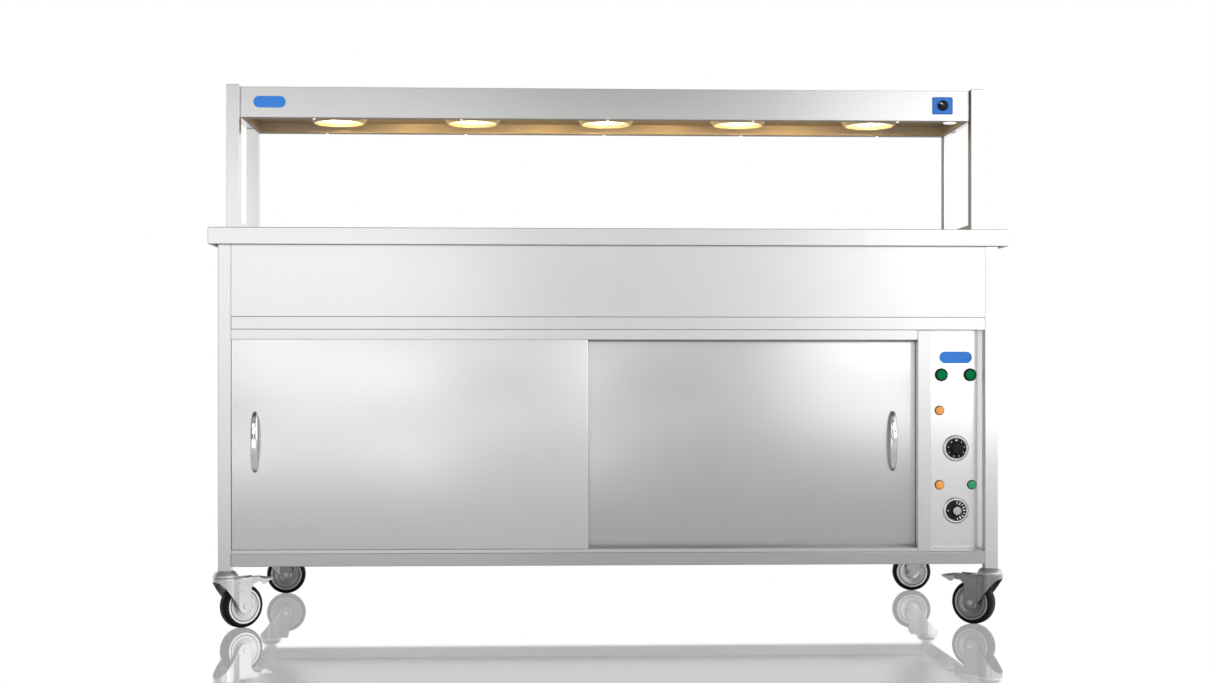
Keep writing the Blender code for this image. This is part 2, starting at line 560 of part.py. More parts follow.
def build_controls(mats):
    build_buttons_and_lamps(mats)
    play = 0.0006
    bezel = ((DIAL_R + play, -GAP), (BEZEL_R, -GAP), (BEZEL_R, -0.0018), (BEZEL_R - 0.0022, -0.0048),
             (BEZEL_R - 0.0050, -0.0060), (DIAL_R + play, -0.0050))
    for name, z in (("upper", KNOB_UPPER_Z), ("lower", KNOB_LOWER_Z)):
        turned(f"knob_bezel_{name}", bezel, mats["chrome"], (CONTROL_X, PANEL_Y, z), sides=28, ring=True)
    control_knob("knob_upper", KNOB_UPPER_Z, mats, 0.0120, 0.0170, 6, 0.0012)
    control_knob("knob_lower", KNOB_LOWER_Z, mats, 0.0096, 0.0170, 1, 0.0)


# ---- Castors -------------------------------------------------------------------------------------
def castor_head(name, x, y, metal):
    """The fixed part: a bolt up into the post, and the cover of the swivel bearing."""
    bolt_r, bolt_top_z = 0.006, 0.160
    rim_z, dome_top_z, dome_top_r = 0.1200, POST_BOTTOM_Z - GAP, HEAD_R - 0.0080
    profile = ((0, HEAD_BOTTOM_Z), (HEAD_R, HEAD_BOTTOM_Z), (HEAD_R, rim_z), (dome_top_r, dome_top_z),
               (bolt_r, dome_top_z), (bolt_r, bolt_top_z), (0, bolt_top_z))
    turned(f"{name}_head", profile, metal, (x, y, 0), axis="Z", sides=20)


def fork_leg_outline(braked):
    """Side view of a fork leg, as (x, z) with the swivel axis at x = 0. A braked leg runs on to the pedal."""
    axle = (CASTOR_TRAIL, WHEEL_R)
    boss = arc_points(axle, 0.0150, 215, 365, 8)
    front = ((-0.0165, FORK_TOP_Z), (-0.0165, 0.0970), (-0.0080, 0.0870))
    if braked:
        rear = ((0.0540, 0.0860), (0.0600, 0.0980), (0.0700, 0.1020), (0.0700, FORK_TOP_Z))
    else:
        rear = ((0.0520, 0.0700), (0.0450, 0.1050), (0.0450, FORK_TOP_Z))
    return [*front, *boss, *rear]


def castor_fork(name, metal, swivel, braked):
    outer_y = LEG_IN_Y + LEG_T
    crown_r, crown_end_x, crown_half, crown_t = 0.0270, 0.044, 0.0195, 0.0050
    crown = [*arc_points((0, 0), crown_r, 90, 270, 13), (crown_end_x, -crown_half), (crown_end_x, crown_half)]
    fork = prism(f"{name}_fork", crown, "Z", FORK_TOP_Z - crown_t, FORK_TOP_Z, metal, parent=swivel)
    for side, y0 in (("left", LEG_IN_Y), ("right", -outer_y)):
        leg = prism(f"{name}_leg_{side}", fork_leg_outline(braked), "Y", y0, y0 + LEG_T, metal, parent=swivel)
        combine(fork, leg, "UNION")
    nut_r, nut_in_y, nut_out_y = AXLE_R * 1.5, LEG_IN_Y + 0.001, outer_y + 0.0025
    axle = ((0, -nut_out_y), (nut_r, -nut_out_y), (nut_r, -nut_in_y), (AXLE_R, -nut_in_y),
            (AXLE_R, nut_in_y), (nut_r, nut_in_y), (nut_r, nut_out_y), (0, nut_out_y))
    pin = turned(f"{name}_axle", axle, metal, (CASTOR_TRAIL, 0, WHEEL_R), sides=16, parent=swivel)
    combine(fork, pin, "UNION")


def castor_wheel(name, tyre, swivel):
    """A wheel whose flats touch the floor, with a bore for the axle and a dished disc on each side."""
    flat_to_corner = 1 / math.cos(math.pi / WHEEL_SIDES)
    half, hub_half = WHEEL_W / 2, 0.0175
    bore = AXLE_R + AXLE_PLAY
    outline = ((WHEEL_R, 0), (WHEEL_R, half - 0.006), (WHEEL_R - 0.006, half), (0.0390, half),
               (0.0340, half - 0.004), (0.0130, half - 0.004), (0.0120, hub_half), (bore, hub_half))
    mirrored = [(radius, -along) for radius, along in reversed(outline[1:])]
    profile = [(radius * flat_to_corner, along) for radius, along in (*outline, *mirrored)]
    at = (CASTOR_TRAIL, 0, WHEEL_R)
    turned(f"{name}_wheel", profile, tyre, at, sides=WHEEL_SIDES, ring=True, parent=swivel)


def brake_pedal(name, metal, swivel):
    """A pressed lever between the fork's legs. Its tread points away from the swivel axis."""
    outline = ((0.0495, 0.1060), (0.0565, 0.1055), (0.0780, 0.1092), (0.1000, 0.1080), (0.1140, 0.1062),
               (0.1160, 0.1080), (0.1010, 0.1115), (0.0780, 0.1130), (0.0565, 0.1110), (0.0495, 0.1100))
    local = [(x - PEDAL_PIVOT_X, z - PEDAL_PIVOT_Z) for x, z in outline]
    at = (PEDAL_PIVOT_X, 0, PEDAL_PIVOT_Z)
    prism(f"{name}_brake_pedal", local, "Y", -0.0170, 0.0170, metal, at, swivel)


def build_castors(mats):
    x, y = BODY_X - TUBE / 2, BACK_Y - TUBE / 2
    corners = (("castor_front_left", -x, -y, FRONT_LEFT_HEADING, True),
               ("castor_front_right", x, -y, FRONT_RIGHT_HEADING, True),
               ("castor_rear_left", -x, y, REAR_LEFT_HEADING, False),
               ("castor_rear_right", x, y, REAR_RIGHT_HEADING, False))
    for name, castor_x, castor_y, heading, braked in corners:
        castor_head(name, castor_x, castor_y, mats["zinc"])
        swivel = add_empty(f"{name}_swivel_axis", (castor_x, castor_y, 0), heading)
        castor_fork(name, mats["zinc"], swivel, braked)
        castor_wheel(name, mats["wheel"], swivel)
        if braked:
            brake_pedal(name, mats["zinc"], swivel)


def main():
    clear_scene()
    mats = make_materials()
    build_frame(mats)
    build_panels(mats)
    build_doors(mats)
    build_worktop(mats)
    build_gantry(mats)
    build_controls(mats)
    build_castors(mats)
    bpy.context.view_layer.update()


main()
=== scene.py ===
"""The looks of the steam table unit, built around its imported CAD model.

Units are metres and +Z is up. Places come from the frame's nodes and joints. The doors and the controls
face -Y. A piece's points are stored in the row frame, so each object sits at the origin.
"""

import json
import math

import bmesh
import bpy
from mathutils import Matrix, Vector

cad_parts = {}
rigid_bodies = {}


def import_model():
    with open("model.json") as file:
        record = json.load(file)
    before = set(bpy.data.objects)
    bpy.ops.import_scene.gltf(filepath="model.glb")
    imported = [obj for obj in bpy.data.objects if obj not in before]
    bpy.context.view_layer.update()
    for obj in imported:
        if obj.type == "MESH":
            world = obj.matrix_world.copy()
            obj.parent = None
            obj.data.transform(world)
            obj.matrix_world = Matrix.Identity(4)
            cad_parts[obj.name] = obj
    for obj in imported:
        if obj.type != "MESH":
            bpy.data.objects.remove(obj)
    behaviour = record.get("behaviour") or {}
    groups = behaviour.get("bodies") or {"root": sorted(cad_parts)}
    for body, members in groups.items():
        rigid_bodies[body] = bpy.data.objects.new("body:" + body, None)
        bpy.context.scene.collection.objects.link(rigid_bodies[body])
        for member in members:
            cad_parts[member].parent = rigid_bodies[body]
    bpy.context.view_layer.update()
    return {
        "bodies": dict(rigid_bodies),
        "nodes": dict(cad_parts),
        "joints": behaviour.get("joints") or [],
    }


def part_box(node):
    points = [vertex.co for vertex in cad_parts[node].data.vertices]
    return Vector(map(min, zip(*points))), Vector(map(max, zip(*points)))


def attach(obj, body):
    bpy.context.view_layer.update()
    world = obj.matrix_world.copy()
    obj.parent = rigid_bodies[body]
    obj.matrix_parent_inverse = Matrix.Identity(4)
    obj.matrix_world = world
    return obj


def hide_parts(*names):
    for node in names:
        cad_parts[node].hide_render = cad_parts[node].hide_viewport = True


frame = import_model()
JOINTS = {joint["name"]: joint for joint in frame["joints"]}
WHITE = (1.0, 1.0, 1.0, 1.0)
FACING_OUT = Matrix.Rotation(math.radians(90), 4, "X")     # local +Z comes out of the front, towards -Y


# ---- Small helpers -------------------------------------------------------------------------------
def centre(node):
    low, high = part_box(node)
    return (low + high) / 2


def at(place, turn=None):
    """The matrix that puts a local shape at a place, turned first."""
    return Matrix.Translation(Vector(place)) @ (turn or Matrix.Identity(4))


def smoothstep(low, high, value):
    t = min(max((value - low) / (high - low), 0.0), 1.0)
    return t * t * (3 - 2 * t)


def arc(centre_point, radius, start, end, count):
    """Points on an arc between two angles in degrees, both ends included."""
    x, y = centre_point
    points = []
    for i in range(count):
        angle = math.radians(start + (end - start) * i / (count - 1))
        points.append((x + radius * math.cos(angle), y + radius * math.sin(angle)))
    return points


def finish_piece(name, bm, material, body, matrix, smooth=None, slot=None, stands_for=()):
    """Turn a local mesh into a piece that rides on a CAD body."""
    bmesh.ops.recalc_face_normals(bm, faces=bm.faces)
    bm.transform(matrix)
    mesh = bpy.data.meshes.new(name)
    bm.to_mesh(mesh)
    bm.free()
    mesh.materials.append(material)
    piece = bpy.data.objects.new(name, mesh)
    bpy.context.scene.collection.objects.link(piece)
    if smooth is not None:
        mesh.shade_smooth()
        mesh.set_sharp_from_angle(angle=math.radians(smooth))
    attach(piece, body)
    if stands_for:
        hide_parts(*stands_for)
    return piece


def add_bevel(piece, width, segments=2, angle=30):
    bevel = piece.modifiers.new("edge", "BEVEL")
    bevel.width = width
    bevel.segments = segments
    bevel.limit_method = "ANGLE"
    bevel.angle_limit = math.radians(angle)
    return piece


def thicken(piece, thickness):
    """Give a surface the thickness of a sheet, inwards from its outer face."""
    solid = piece.modifiers.new("sheet", "SOLIDIFY")
    solid.thickness = thickness
    solid.offset = -1.0


def turned(name, profile, material, body, matrix, sides=64, ring=False, smooth=35, **more):
    """A profile of (radius, height) turned about local Z. A ring has a hole along its axis."""
    bm = bmesh.new()
    rows = []
    for radius, height in profile:
        if radius == 0:
            rows.append([bm.verts.new((0, 0, height))])
            continue
        angles = [2 * math.pi * i / sides for i in range(sides)]
        rows.append([bm.verts.new((radius * math.cos(a), radius * math.sin(a), height)) for a in angles])
    pairs = list(zip(rows, rows[1:]))
    if ring:
        pairs.append((rows[-1], rows[0]))
    for first, second in pairs:
        for i in range(sides):
            j = (i + 1) % sides
            corners = (first[i % len(first)], first[j % len(first)],
                       second[j % len(second)], second[i % len(second)])
            bm.faces.new(list(dict.fromkeys(corners)))
    return finish_piece(name, bm, material, body, matrix, smooth, **more)


def slab(name, outline, low, high, material, body, matrix, bevel=0.0, smooth=None, **more):
    """A flat outline in local XY between two heights, with its edges rounded."""
    bm = bmesh.new()
    bottom = [bm.verts.new((x, y, low)) for x, y in outline]
    top = [bm.verts.new((x, y, high)) for x, y in outline]
    bm.faces.new(list(reversed(bottom)))
    bm.faces.new(top)
    for i in range(len(outline)):
        j = (i + 1) % len(outline)
        bm.faces.new((bottom[i], bottom[j], top[j], top[i]))
    piece = finish_piece(name, bm, material, body, matrix, smooth, **more)
    return add_bevel(piece, bevel, 2, 50) if bevel else piece


def loft(name, rings, material, body, matrix, smooth=40, **more):
    """Rings of the same number of points, skinned one to the next and closed at both ends."""
    bm = bmesh.new()
    rows = [[bm.verts.new(point) for point in ring] for ring in rings]
    count = len(rows[0])
    for first, second in zip(rows, rows[1:]):
        for i in range(count):
            j = (i + 1) % count
            bm.faces.new((first[i], first[j], second[j], second[i]))
    bm.faces.new(rows[0])
    bm.faces.new(rows[-1])
    return finish_piece(name, bm, material, body, matrix, smooth, **more)


def rounded_outline(half_w, half_h, radius, steps):
    """A rectangle about the origin with round corners."""
    points = []
    for sx, sy, start in ((1, 1, 0), (-1, 1, 90), (-1, -1, 180), (1, -1, 270)):
        corner = (sx * (half_w - radius), sy * (half_h - radius))
        points += arc(corner, radius, start, start + 90, steps)
    return points


# ---- Materials -----------------------------------------------------------------------------------
NOISE_SPAN = (0.3, 0.7)         # a noise's values lie mostly between these
FINE_DEPTH = 0.000004           # the depth of a satin finish
GRAIN_ALONG = 12.0              # the scale along brush marks, against the fine scale across them


def new_material(name, colour, metallic=0.0, roughness=0.5, **sockets):
    material = bpy.data.materials.new(name)
    material.use_nodes = True
    shader = material.node_tree.nodes["Principled BSDF"]
    shader.inputs["Base Color"].default_value = (*colour, 1.0)
    shader.inputs["Metallic"].default_value = metallic
    shader.inputs["Roughness"].default_value = roughness
    for socket, value in sockets.items():
        shader.inputs[socket.replace("_", " ")].default_value = value
    material.diffuse_color = (*colour, 1.0)
    return material, shader


def stretched_noise(material, scale, detail):
    """Noise in the piece's own coordinates, stretched by a scale for each axis."""
    nodes, links = material.node_tree.nodes, material.node_tree.links
    where = nodes.new("ShaderNodeTexCoord")
    mapping = nodes.new("ShaderNodeMapping")
    mapping.inputs["Scale"].default_value = scale
    texture = nodes.new("ShaderNodeTexNoise")
    texture.inputs["Scale"].default_value = 1.0
    texture.inputs["Detail"].default_value = detail
    links.new(where.outputs["Object"], mapping.inputs["Vector"])
    links.new(mapping.outputs["Vector"], texture.inputs["Vector"])
    return texture


def vary(material, shader, texture, socket, low, high):
    """Drive a shader's value between two ends with a noise."""
    nodes, links = material.node_tree.nodes, material.node_tree.links
    spread = nodes.new("ShaderNodeMapRange")
    spread.inputs["From Min"].default_value, spread.inputs["From Max"].default_value = NOISE_SPAN
    spread.inputs["To Min"].default_value = low
    spread.inputs["To Max"].default_value = high
    links.new(texture.outputs["Fac"], spread.inputs["Value"])
    links.new(spread.outputs["Result"], shader.inputs[socket])


def vary_colour(material, shader, texture, dark, light):
    """Blend the base colour between two tones with a noise."""
    nodes, links = material.node_tree.nodes, material.node_tree.links
    ramp = nodes.new("ShaderNodeValToRGB")
    for stop, position, colour in zip(ramp.color_ramp.elements, NOISE_SPAN, (dark, light)):
        stop.position = position
        stop.color = (*colour, 1.0)
    links.new(texture.outputs["Fac"], ramp.inputs["Fac"])
    links.new(ramp.outputs["Color"], shader.inputs["Base Color"])


def add_bump(material, shader, texture, strength, distance):
    nodes, links = material.node_tree.nodes, material.node_tree.links
    bump = nodes.new("ShaderNodeBump")
    bump.inputs["Strength"].default_value = strength
    bump.inputs["Distance"].default_value = distance
    links.new(texture.outputs["Fac"], bump.inputs["Height"])
    links.new(bump.outputs["Normal"], shader.inputs["Normal"])


def brushed(name, tint, roughness, grain_axis, fine=1400.0):
    """Satin stainless sheet: hair-fine scratches along one axis and faint clouds from handling."""
    material, shader = new_material(name, tint, 1.0, roughness)
    scale = [fine] * 3
    scale["XYZ".index(grain_axis)] = GRAIN_ALONG
    scratches = stretched_noise(material, scale, 1.0)
    clouds = stretched_noise(material, (5.0, 5.0, 5.0), 2.0)
    vary(material, shader, scratches, "Roughness", roughness - 0.003, roughness + 0.003)
    vary_colour(material, shader, clouds, [c * 0.985 for c in tint], [min(c * 1.012, 1.0) for c in tint])
    add_bump(material, shader, scratches, 0.02, FINE_DEPTH)
    return material


def glow_painted_sheet(name, colour):
    """The canopy's unpolished inside: duller than the outside, so that it picks up the lamps' glow. Its warm
    colour is painted lamp glow, and its darker copy under the lips is painted shade.
    """
    material, shader = new_material(name, colour, 0.35, 0.50)
    grain = stretched_noise(material, (GRAIN_ALONG, 900.0, 900.0), 1.0)
    vary(material, shader, grain, "Roughness", 0.46, 0.54)
    add_bump(material, shader, grain, 0.02, FINE_DEPTH)
    return material


def speckled(name, colour, metallic, roughness, grain, depth, spread=0.08, **sockets):
    """A plain finish with a fine even grain in its roughness, colour and surface."""
    material, shader = new_material(name, colour, metallic, roughness, **sockets)
    texture = stretched_noise(material, (grain, grain, grain), 3.0)
    vary(material, shader, texture, "Roughness", max(roughness - spread, 0.02), roughness + spread)
    vary_colour(material, shader, texture, [c * 0.92 for c in colour], [min(c * 1.06, 1.0) for c in colour])
    add_bump(material, shader, texture, 0.15, depth)
    return material


def lens(name, colour, glow, strength):
    """Translucent plastic over a lamp: a coloured face that glows a little."""
    material, shader = new_material(name, colour, 0.0, 0.25, Coat_Weight=0.4, Coat_Roughness=0.08)
    shader.inputs["Emission Color"].default_value = (*glow, 1.0)
    texture = stretched_noise(material, (900.0, 900.0, 900.0), 1.0)
    vary(material, shader, texture, "Emission Strength", strength * 0.85, strength * 1.15)
    vary_colour(material, shader, texture, [c * 0.9 for c in colour], [min(c * 1.08, 1.0) for c in colour])
    return material


def steel(level):
    """Stainless steel's colour, made lighter or darker by a level: the lighter copies are painted light and
    the darker copies painted shade.
    """
    return (0.80 * level, 0.80 * level, 0.795 * level)


MATERIALS = {
    "sheet": brushed("sheet_grain_x", steel(1.0), 0.27, "X"),
    "upright": brushed("sheet_grain_z", steel(1.0), 0.27, "Z"),
    "across": brushed("sheet_grain_y", steel(1.0), 0.27, "Y"),
    # The left door takes a lighter copy of the steel, painted light, and the right door a darker copy,
    # painted shade.
    "left_door": brushed("left_door_sheet_painted_light", steel(1.09), 0.27, "X"),
    "right_door": brushed("right_door_sheet_painted_shade", steel(0.86), 0.27, "X"),
    # A darker copy of the same steel for the bottom rails: painted shade.
    "painted_shade_rail_copy": brushed("rail_sheet_painted_shade", steel(0.80), 0.27, "X"),
    # A lighter copy of the upright steel for the front right post and the control panel: painted light.
    "painted_light_upright": brushed("painted_light_upright", steel(1.19), 0.20, "Z"),
    "shaded_return": speckled("shaded_return", (0.92, 0.92, 0.92), 0.25, 0.60, 900.0, FINE_DEPTH, 0.02),
    # A dark sheet for returns that face away from the light: painted shade.
    "painted_shade_return": speckled("painted_shade_return", (0.19, 0.175, 0.145), 1.0, 0.42, 900.0, FINE_DEPTH, 0.02),
    # The canopy's inside, lamp plate and lamp trims: a warm colour that is painted lamp glow.
    "painted_glow_inside": glow_painted_sheet("canopy_inside_painted_glow", (0.60, 0.51, 0.38)),
    # The undersides of the canopy's lips: a darker warm colour, painted shade.
    "painted_shade_lip_underside": glow_painted_sheet("canopy_lip_underside_painted_shade", (0.36, 0.325, 0.28)),
    "inside": brushed("mill_sheet", (0.60, 0.60, 0.59), 0.42, "X", 300.0),
    "chrome": speckled("chrome", (0.86, 0.86, 0.87), 1.0, 0.07, 260.0, 0.00001, 0.02),
    "bezel": speckled("bezel_chrome", (0.90, 0.90, 0.90), 0.70, 0.26, 260.0, 0.00001, 0.02),
    "zinc": speckled("zinc_plate", (0.80, 0.805, 0.81), 0.72, 0.30, 260.0, FINE_DEPTH, 0.03),
    # A darker copy of the zinc for two of the castors: painted shade.
    "painted_shade_zinc": speckled("painted_shade_zinc_plate", (0.40, 0.405, 0.41), 0.80, 0.30, 260.0, FINE_DEPTH, 0.03),
    "dull_tube": speckled("heating_tube", (0.33, 0.31, 0.29), 1.0, 0.45, 500.0, 0.00005),
    "rubber": speckled("tyre_rubber", (0.006, 0.006, 0.0065), 0.0, 0.5, 900.0, 0.00004,
                       Specular_IOR_Level=0.25),
    "disc": speckled("wheel_disc", (0.70, 0.70, 0.71), 0.75, 0.36, 300.0, 0.000006, 0.03),
    "rim": speckled("wheel_rim", (0.85, 0.85, 0.86), 0.75, 0.30, 300.0, 0.000005, 0.03),
    # Darker copies of the wheel disc and rim for two of the castors: painted shade.
    "painted_shade_disc": speckled("painted_shade_wheel_disc", (0.36, 0.36, 0.365), 0.75, 0.36, 300.0, 0.000006, 0.03),
    "painted_shade_rim": speckled("painted_shade_wheel_rim", (0.50, 0.50, 0.505), 0.75, 0.30, 300.0, 0.000005, 0.03),
    "groove": speckled("wheel_groove", (0.10, 0.10, 0.11), 0.0, 0.60, 700.0, 0.00003),
    "black": speckled("black_plastic", (0.010, 0.010, 0.010), 0.0, 0.40, 1500.0, 0.00001,
                      Specular_IOR_Level=0.3),
    "cap": speckled("knob_cap", (0.72, 0.72, 0.72), 0.4, 0.35, 1500.0, 0.00001),
    "green": speckled("green_plastic", (0.0, 0.33, 0.095), 0.0, 0.45, 1500.0, 0.00001,
                      Specular_IOR_Level=0.08),
    # The blue badges and knob plate glow a little though they are no lamps: painted light.
    "blue": speckled("blue_print_painted_glow", (0.062, 0.32, 1.0), 0.0, 0.40, 900.0, 0.00001, Specular_IOR_Level=0.2,
                     Emission_Color=(0.06, 0.25, 0.90, 1.0), Emission_Strength=0.12),
    "blue_edge": speckled("blue_edge", (0.02, 0.17, 0.72), 0.0, 0.40, 900.0, 0.00001,
                          Specular_IOR_Level=0.2),
    # The white marks, numerals, rivets and plug glow a little though they are no lamps: painted light.
    "white": speckled("white_print_painted_glow", (0.85, 0.85, 0.84), 0.0, 0.45, 1200.0, 0.00001,
                      Emission_Color=WHITE, Emission_Strength=0.70),
    "orange_lens": lens("orange_lens", (0.90, 0.34, 0.05), (1.0, 0.42, 0.08), 0.35),
    "green_lens": lens("green_lens", (0.02, 0.48, 0.20), (0.03, 0.55, 0.22), 0.15),
    "heat_lens": lens("heat_lamp_glass", (1.0, 0.90, 0.60), (1.0, 0.86, 0.45), 1.7),
}


# ---- CAD nodes that stay -------------------------------------------------------------------------
WELD_GAP = 0.00001              # corners nearer than this are one corner
FACING = 0.9                    # the cosine from which a face counts as looking one way


def dress(node, material, bevel=0.0, segments=3):
    """Give a CAD node its finish, and round its sharp edges."""
    obj = frame["nodes"][node]
    obj.data.materials.clear()
    obj.data.materials.append(MATERIALS[material])
    if bevel:
        weld = obj.modifiers.new("weld", "WELD")
        weld.merge_threshold = WELD_GAP
        add_bevel(obj, bevel, segments, 40)


def paint_glow_and_shade_in_canopy():
    """Paint the lamps' warm glow on the canopy's inside, which looks towards its middle or down under its
    skin, and painted shade under its lips.
    """
    canopy = frame["nodes"]["gantry_canopy"]
    mesh = canopy.data
    mesh.materials.append(MATERIALS["painted_glow_inside"])
    mesh.materials.append(MATERIALS["painted_shade_lip_underside"])
    middle = centre("gantry_canopy")
    lip_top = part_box("gantry_canopy")[0].z + 0.01
    for face in mesh.polygons:
        place = canopy.matrix_world @ face.center
        inwards = Vector((middle.x - place.x, middle.y - place.y, 0))
        upright = abs(face.normal.z) < 0.5
        looks_down = face.normal.z < -FACING
        if (upright and face.normal.dot(inwards) > 0) or (looks_down and place.z > lip_top):
            face.material_index = 1
        elif looks_down:
            face.material_index = 2


def side_finish(node, material, direction):
    """Give the faces that look one way a finish of their own: a sheet that stands for painted shade on
    returns facing away from the light.
    """
    mesh = frame["nodes"][node].data
    mesh.materials.append(MATERIALS[material])
    for face in mesh.polygons:
        if face.normal.dot(direction) > FACING:
            face.material_index = len(mesh.materials) - 1


def dress_cad():
    """Finish every CAD node that no finer piece stands in for."""
    for node in ("post_front_left", "post_rear_left", "post_rear_right", "divider_post"):
        dress(node, "upright", 0.0020)
    # The front right post takes a lighter copy of the steel: painted light.
    dress("post_front_right", "painted_light_upright", 0.0006)
    side_finish("post_front_right", "shaded_return", Vector((-1, 0, 0)))
    # The bottom rails take a darker copy of the steel: painted shade.
    for node in ("rail_bottom_front", "rail_bottom_rear"):
        dress(node, "painted_shade_rail_copy", 0.0012)
    dress("rail_mid_front", "sheet", 0.0012)
    for node in ("upper_front_panel", "rear_panel"):
        dress(node, "sheet", 0.0004, 2)
    for node in ("side_panel_left", "side_panel_right"):
        dress(node, "across", 0.0004, 2)
    # The control panel takes the lighter copy of the steel: painted light.
    dress("control_panel", "painted_light_upright", 0.0003, 2)
    dress("control_partition", "inside")
    for node in ("cupboard_floor", "cupboard_ceiling", "cupboard_shelf", "bain_marie_tank"):
        dress(node, "inside", 0.0003, 2)
    for node in ("door_track_top", "door_track_bottom"):
        dress(node, "sheet", 0.0003, 2)
    dress("worktop", "sheet", 0.0018, 4)
    # The worktop's downward faces take a dark sheet: painted shade.
    side_finish("worktop", "painted_shade_return", Vector((0, 0, -1)))
    dress("heating_element", "dull_tube")
    dress("gantry_frame_left", "upright", 0.0013)
    dress("gantry_frame_right", "upright", 0.0013)
    # The gantry frame's inward face takes a dark sheet: painted shade.
    side_finish("gantry_frame_right", "painted_shade_return", Vector((-1, 0, 0)))
    dress("gantry_canopy", "sheet", 0.0009)
    paint_glow_and_shade_in_canopy()
    # The lamp plate takes the canopy's warm colour: painted lamp glow.
    dress("gantry_lamp_plate", "painted_glow_inside", 0.0003, 2)


# ---- Doors ---------------------------------------------------------------------------------------
FOLD_R = 0.0013
SHEET_T = 0.0015
POST_GAP = 0.0004               # between a closed door's face and the post beside it


def door_pressing(node):
    """A tray pressed from sheet, with a rounded fold all round its face."""
    low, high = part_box(node)
    if node == "door_left":
        low.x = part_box("post_front_left")[1].x + POST_GAP
    else:
        high.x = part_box("divider_post")[0].x - POST_GAP
    bm = bmesh.new()
    outline = ((low.x, low.z), (high.x, low.z), (high.x, high.z), (low.x, high.z))
    front = [bm.verts.new((x, low.y, z)) for x, z in outline]
    back = [bm.verts.new((x, high.y, z)) for x, z in outline]
    bm.faces.new(front)
    for i in range(4):
        j = (i + 1) % 4
        bm.faces.new((front[j], front[i], back[i], back[j]))
    folds = [edge for edge in bm.edges if all(abs(v.co.y - low.y) < 1e-6 for v in edge.verts)]
    folds += [edge for edge in bm.edges if abs(edge.verts[0].co.y - edge.verts[1].co.y) > 1e-4]
    bmesh.ops.bevel(bm, geom=folds, offset=FOLD_R, segments=5, profile=0.5, affect="EDGES")
    # The door's steel is a lighter copy on the left door, painted light, and a darker copy on the right one,
    # painted shade.
    side = node.split("_")[1]
    piece = finish_piece(f"{node}_pressing", bm, MATERIALS[f"{side}_door"], node, Matrix.Identity(4), 50,
                         slot="stainless_door", stands_for=(node,))
    thicken(piece, SHEET_T)


def bow_handle(node, body):
    """A chrome bow, widest and furthest out in its middle, with a rounded foot at each end."""
    low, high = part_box(node)
    middle = (low + high) / 2
    half, reach, half_w = (high.z - low.z) / 2, high.y - low.y, (high.x - low.x) / 2
    around, along = 20, 48
    thick, end_width = 0.0062, 0.72
    bow_power, taper_power, foot_power = 2.6, 2.2, 14
    squareness, thinnest = 0.75, 0.02
    rings = []
    for k in range(along + 1):
        s = -math.cos(math.pi * k / along)
        rounding = max(math.sqrt(max(1 - abs(s) ** foot_power, 0.0)), thinnest)
        width = half_w * (1 - (1 - end_width) * abs(s) ** taper_power) * rounding
        depth = thick / 2 * rounding
        out = (reach - thick) * (1 - abs(s) ** bow_power) + thick / 2
        ring = []
        for i in range(around):
            angle = 2 * math.pi * i / around
            x = math.copysign(abs(math.cos(angle)) ** squareness, math.cos(angle)) * width
            y = math.copysign(abs(math.sin(angle)) ** squareness, math.sin(angle)) * depth
            ring.append((middle.x + x, high.y - out + y, middle.z + s * half))
        rings.append(ring)
    loft(f"{node}_bow", rings, MATERIALS["chrome"], body, Matrix.Identity(4), 60,
         slot="chrome_handle", stands_for=(node,))


# ---- Controls ------------------------------------------------------------------------------------
BUTTON_PROUD = 0.0075           # how far the buttons stand out of the panel
PANEL_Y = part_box("push_button_left")[0].y + BUTTON_PROUD
PILL_SIZE = (0.0755, 0.0272)
PILL_RISE = 0.040               # from the buttons' centres up to the badge's


def on_panel(node):
    """The matrix at a control's middle on the panel's face, local +Z towards the operator."""
    middle = centre(node)
    return at((middle.x, PANEL_Y, middle.z), FACING_OUT)


def push_button(side):
    """A green cap that moves in a fixed black collar."""
    body = f"push_button_{side}"
    place = on_panel(body)
    cap = ((0, 0.0064), (0.0094, 0.0064), (0.0099, 0.0068), (0.0103, 0.0074), (0.0108, 0.0075),
           (0.0111, 0.0071), (0.0112, 0.0050), (0.0100, 0.0045), (0.0100, -0.0100), (0, -0.0100))
    turned(f"push_button_{side}_cap", cap, MATERIALS["green"], body, place, 48,
           slot="green_button", stands_for=(body,))
    collar = ((0.0117, 0.0003), (0.0150, 0.0003), (0.0151, 0.0020), (0.0145, 0.0040), (0.0134, 0.0046),
              (0.0121, 0.0045), (0.0117, 0.0038))
    turned(f"push_button_{side}_collar", collar, MATERIALS["black"], "cabinet", place, 48, ring=True,
           slot="black_knob")


def indicator(node, colour):
    """A coloured dome in a black base."""
    place = on_panel(node)
    dome = ((0, 0.0094), (0.0070, 0.0093), (0.0082, 0.0088), (0.0090, 0.0078), (0.0094, 0.0060),
            (0.0095, 0.0026), (0.0074, 0.0024), (0.0074, -0.0180), (0, -0.0180))
    turned(f"{node}_lens", dome, MATERIALS[colour], "cabinet", place, 40, slot=colour, stands_for=(node,))
    base = ((0.0080, 0.0003), (0.0112, 0.0003), (0.0112, 0.0012), (0.0106, 0.0024), (0.0099, 0.0030),
            (0.0097, 0.0023), (0.0080, 0.0022))
    turned(f"{node}_base", base, MATERIALS["black"], "cabinet", place, 40, ring=True, slot="black_knob")


def on_dial(place, angle, radius, height):
    """The matrix of a place on a dial, at an angle from the top, clockwise from the front."""
    turn = Matrix.Rotation(math.radians(-angle), 4, "Z") @ Matrix.Translation((0, radius, height))
    return place @ turn


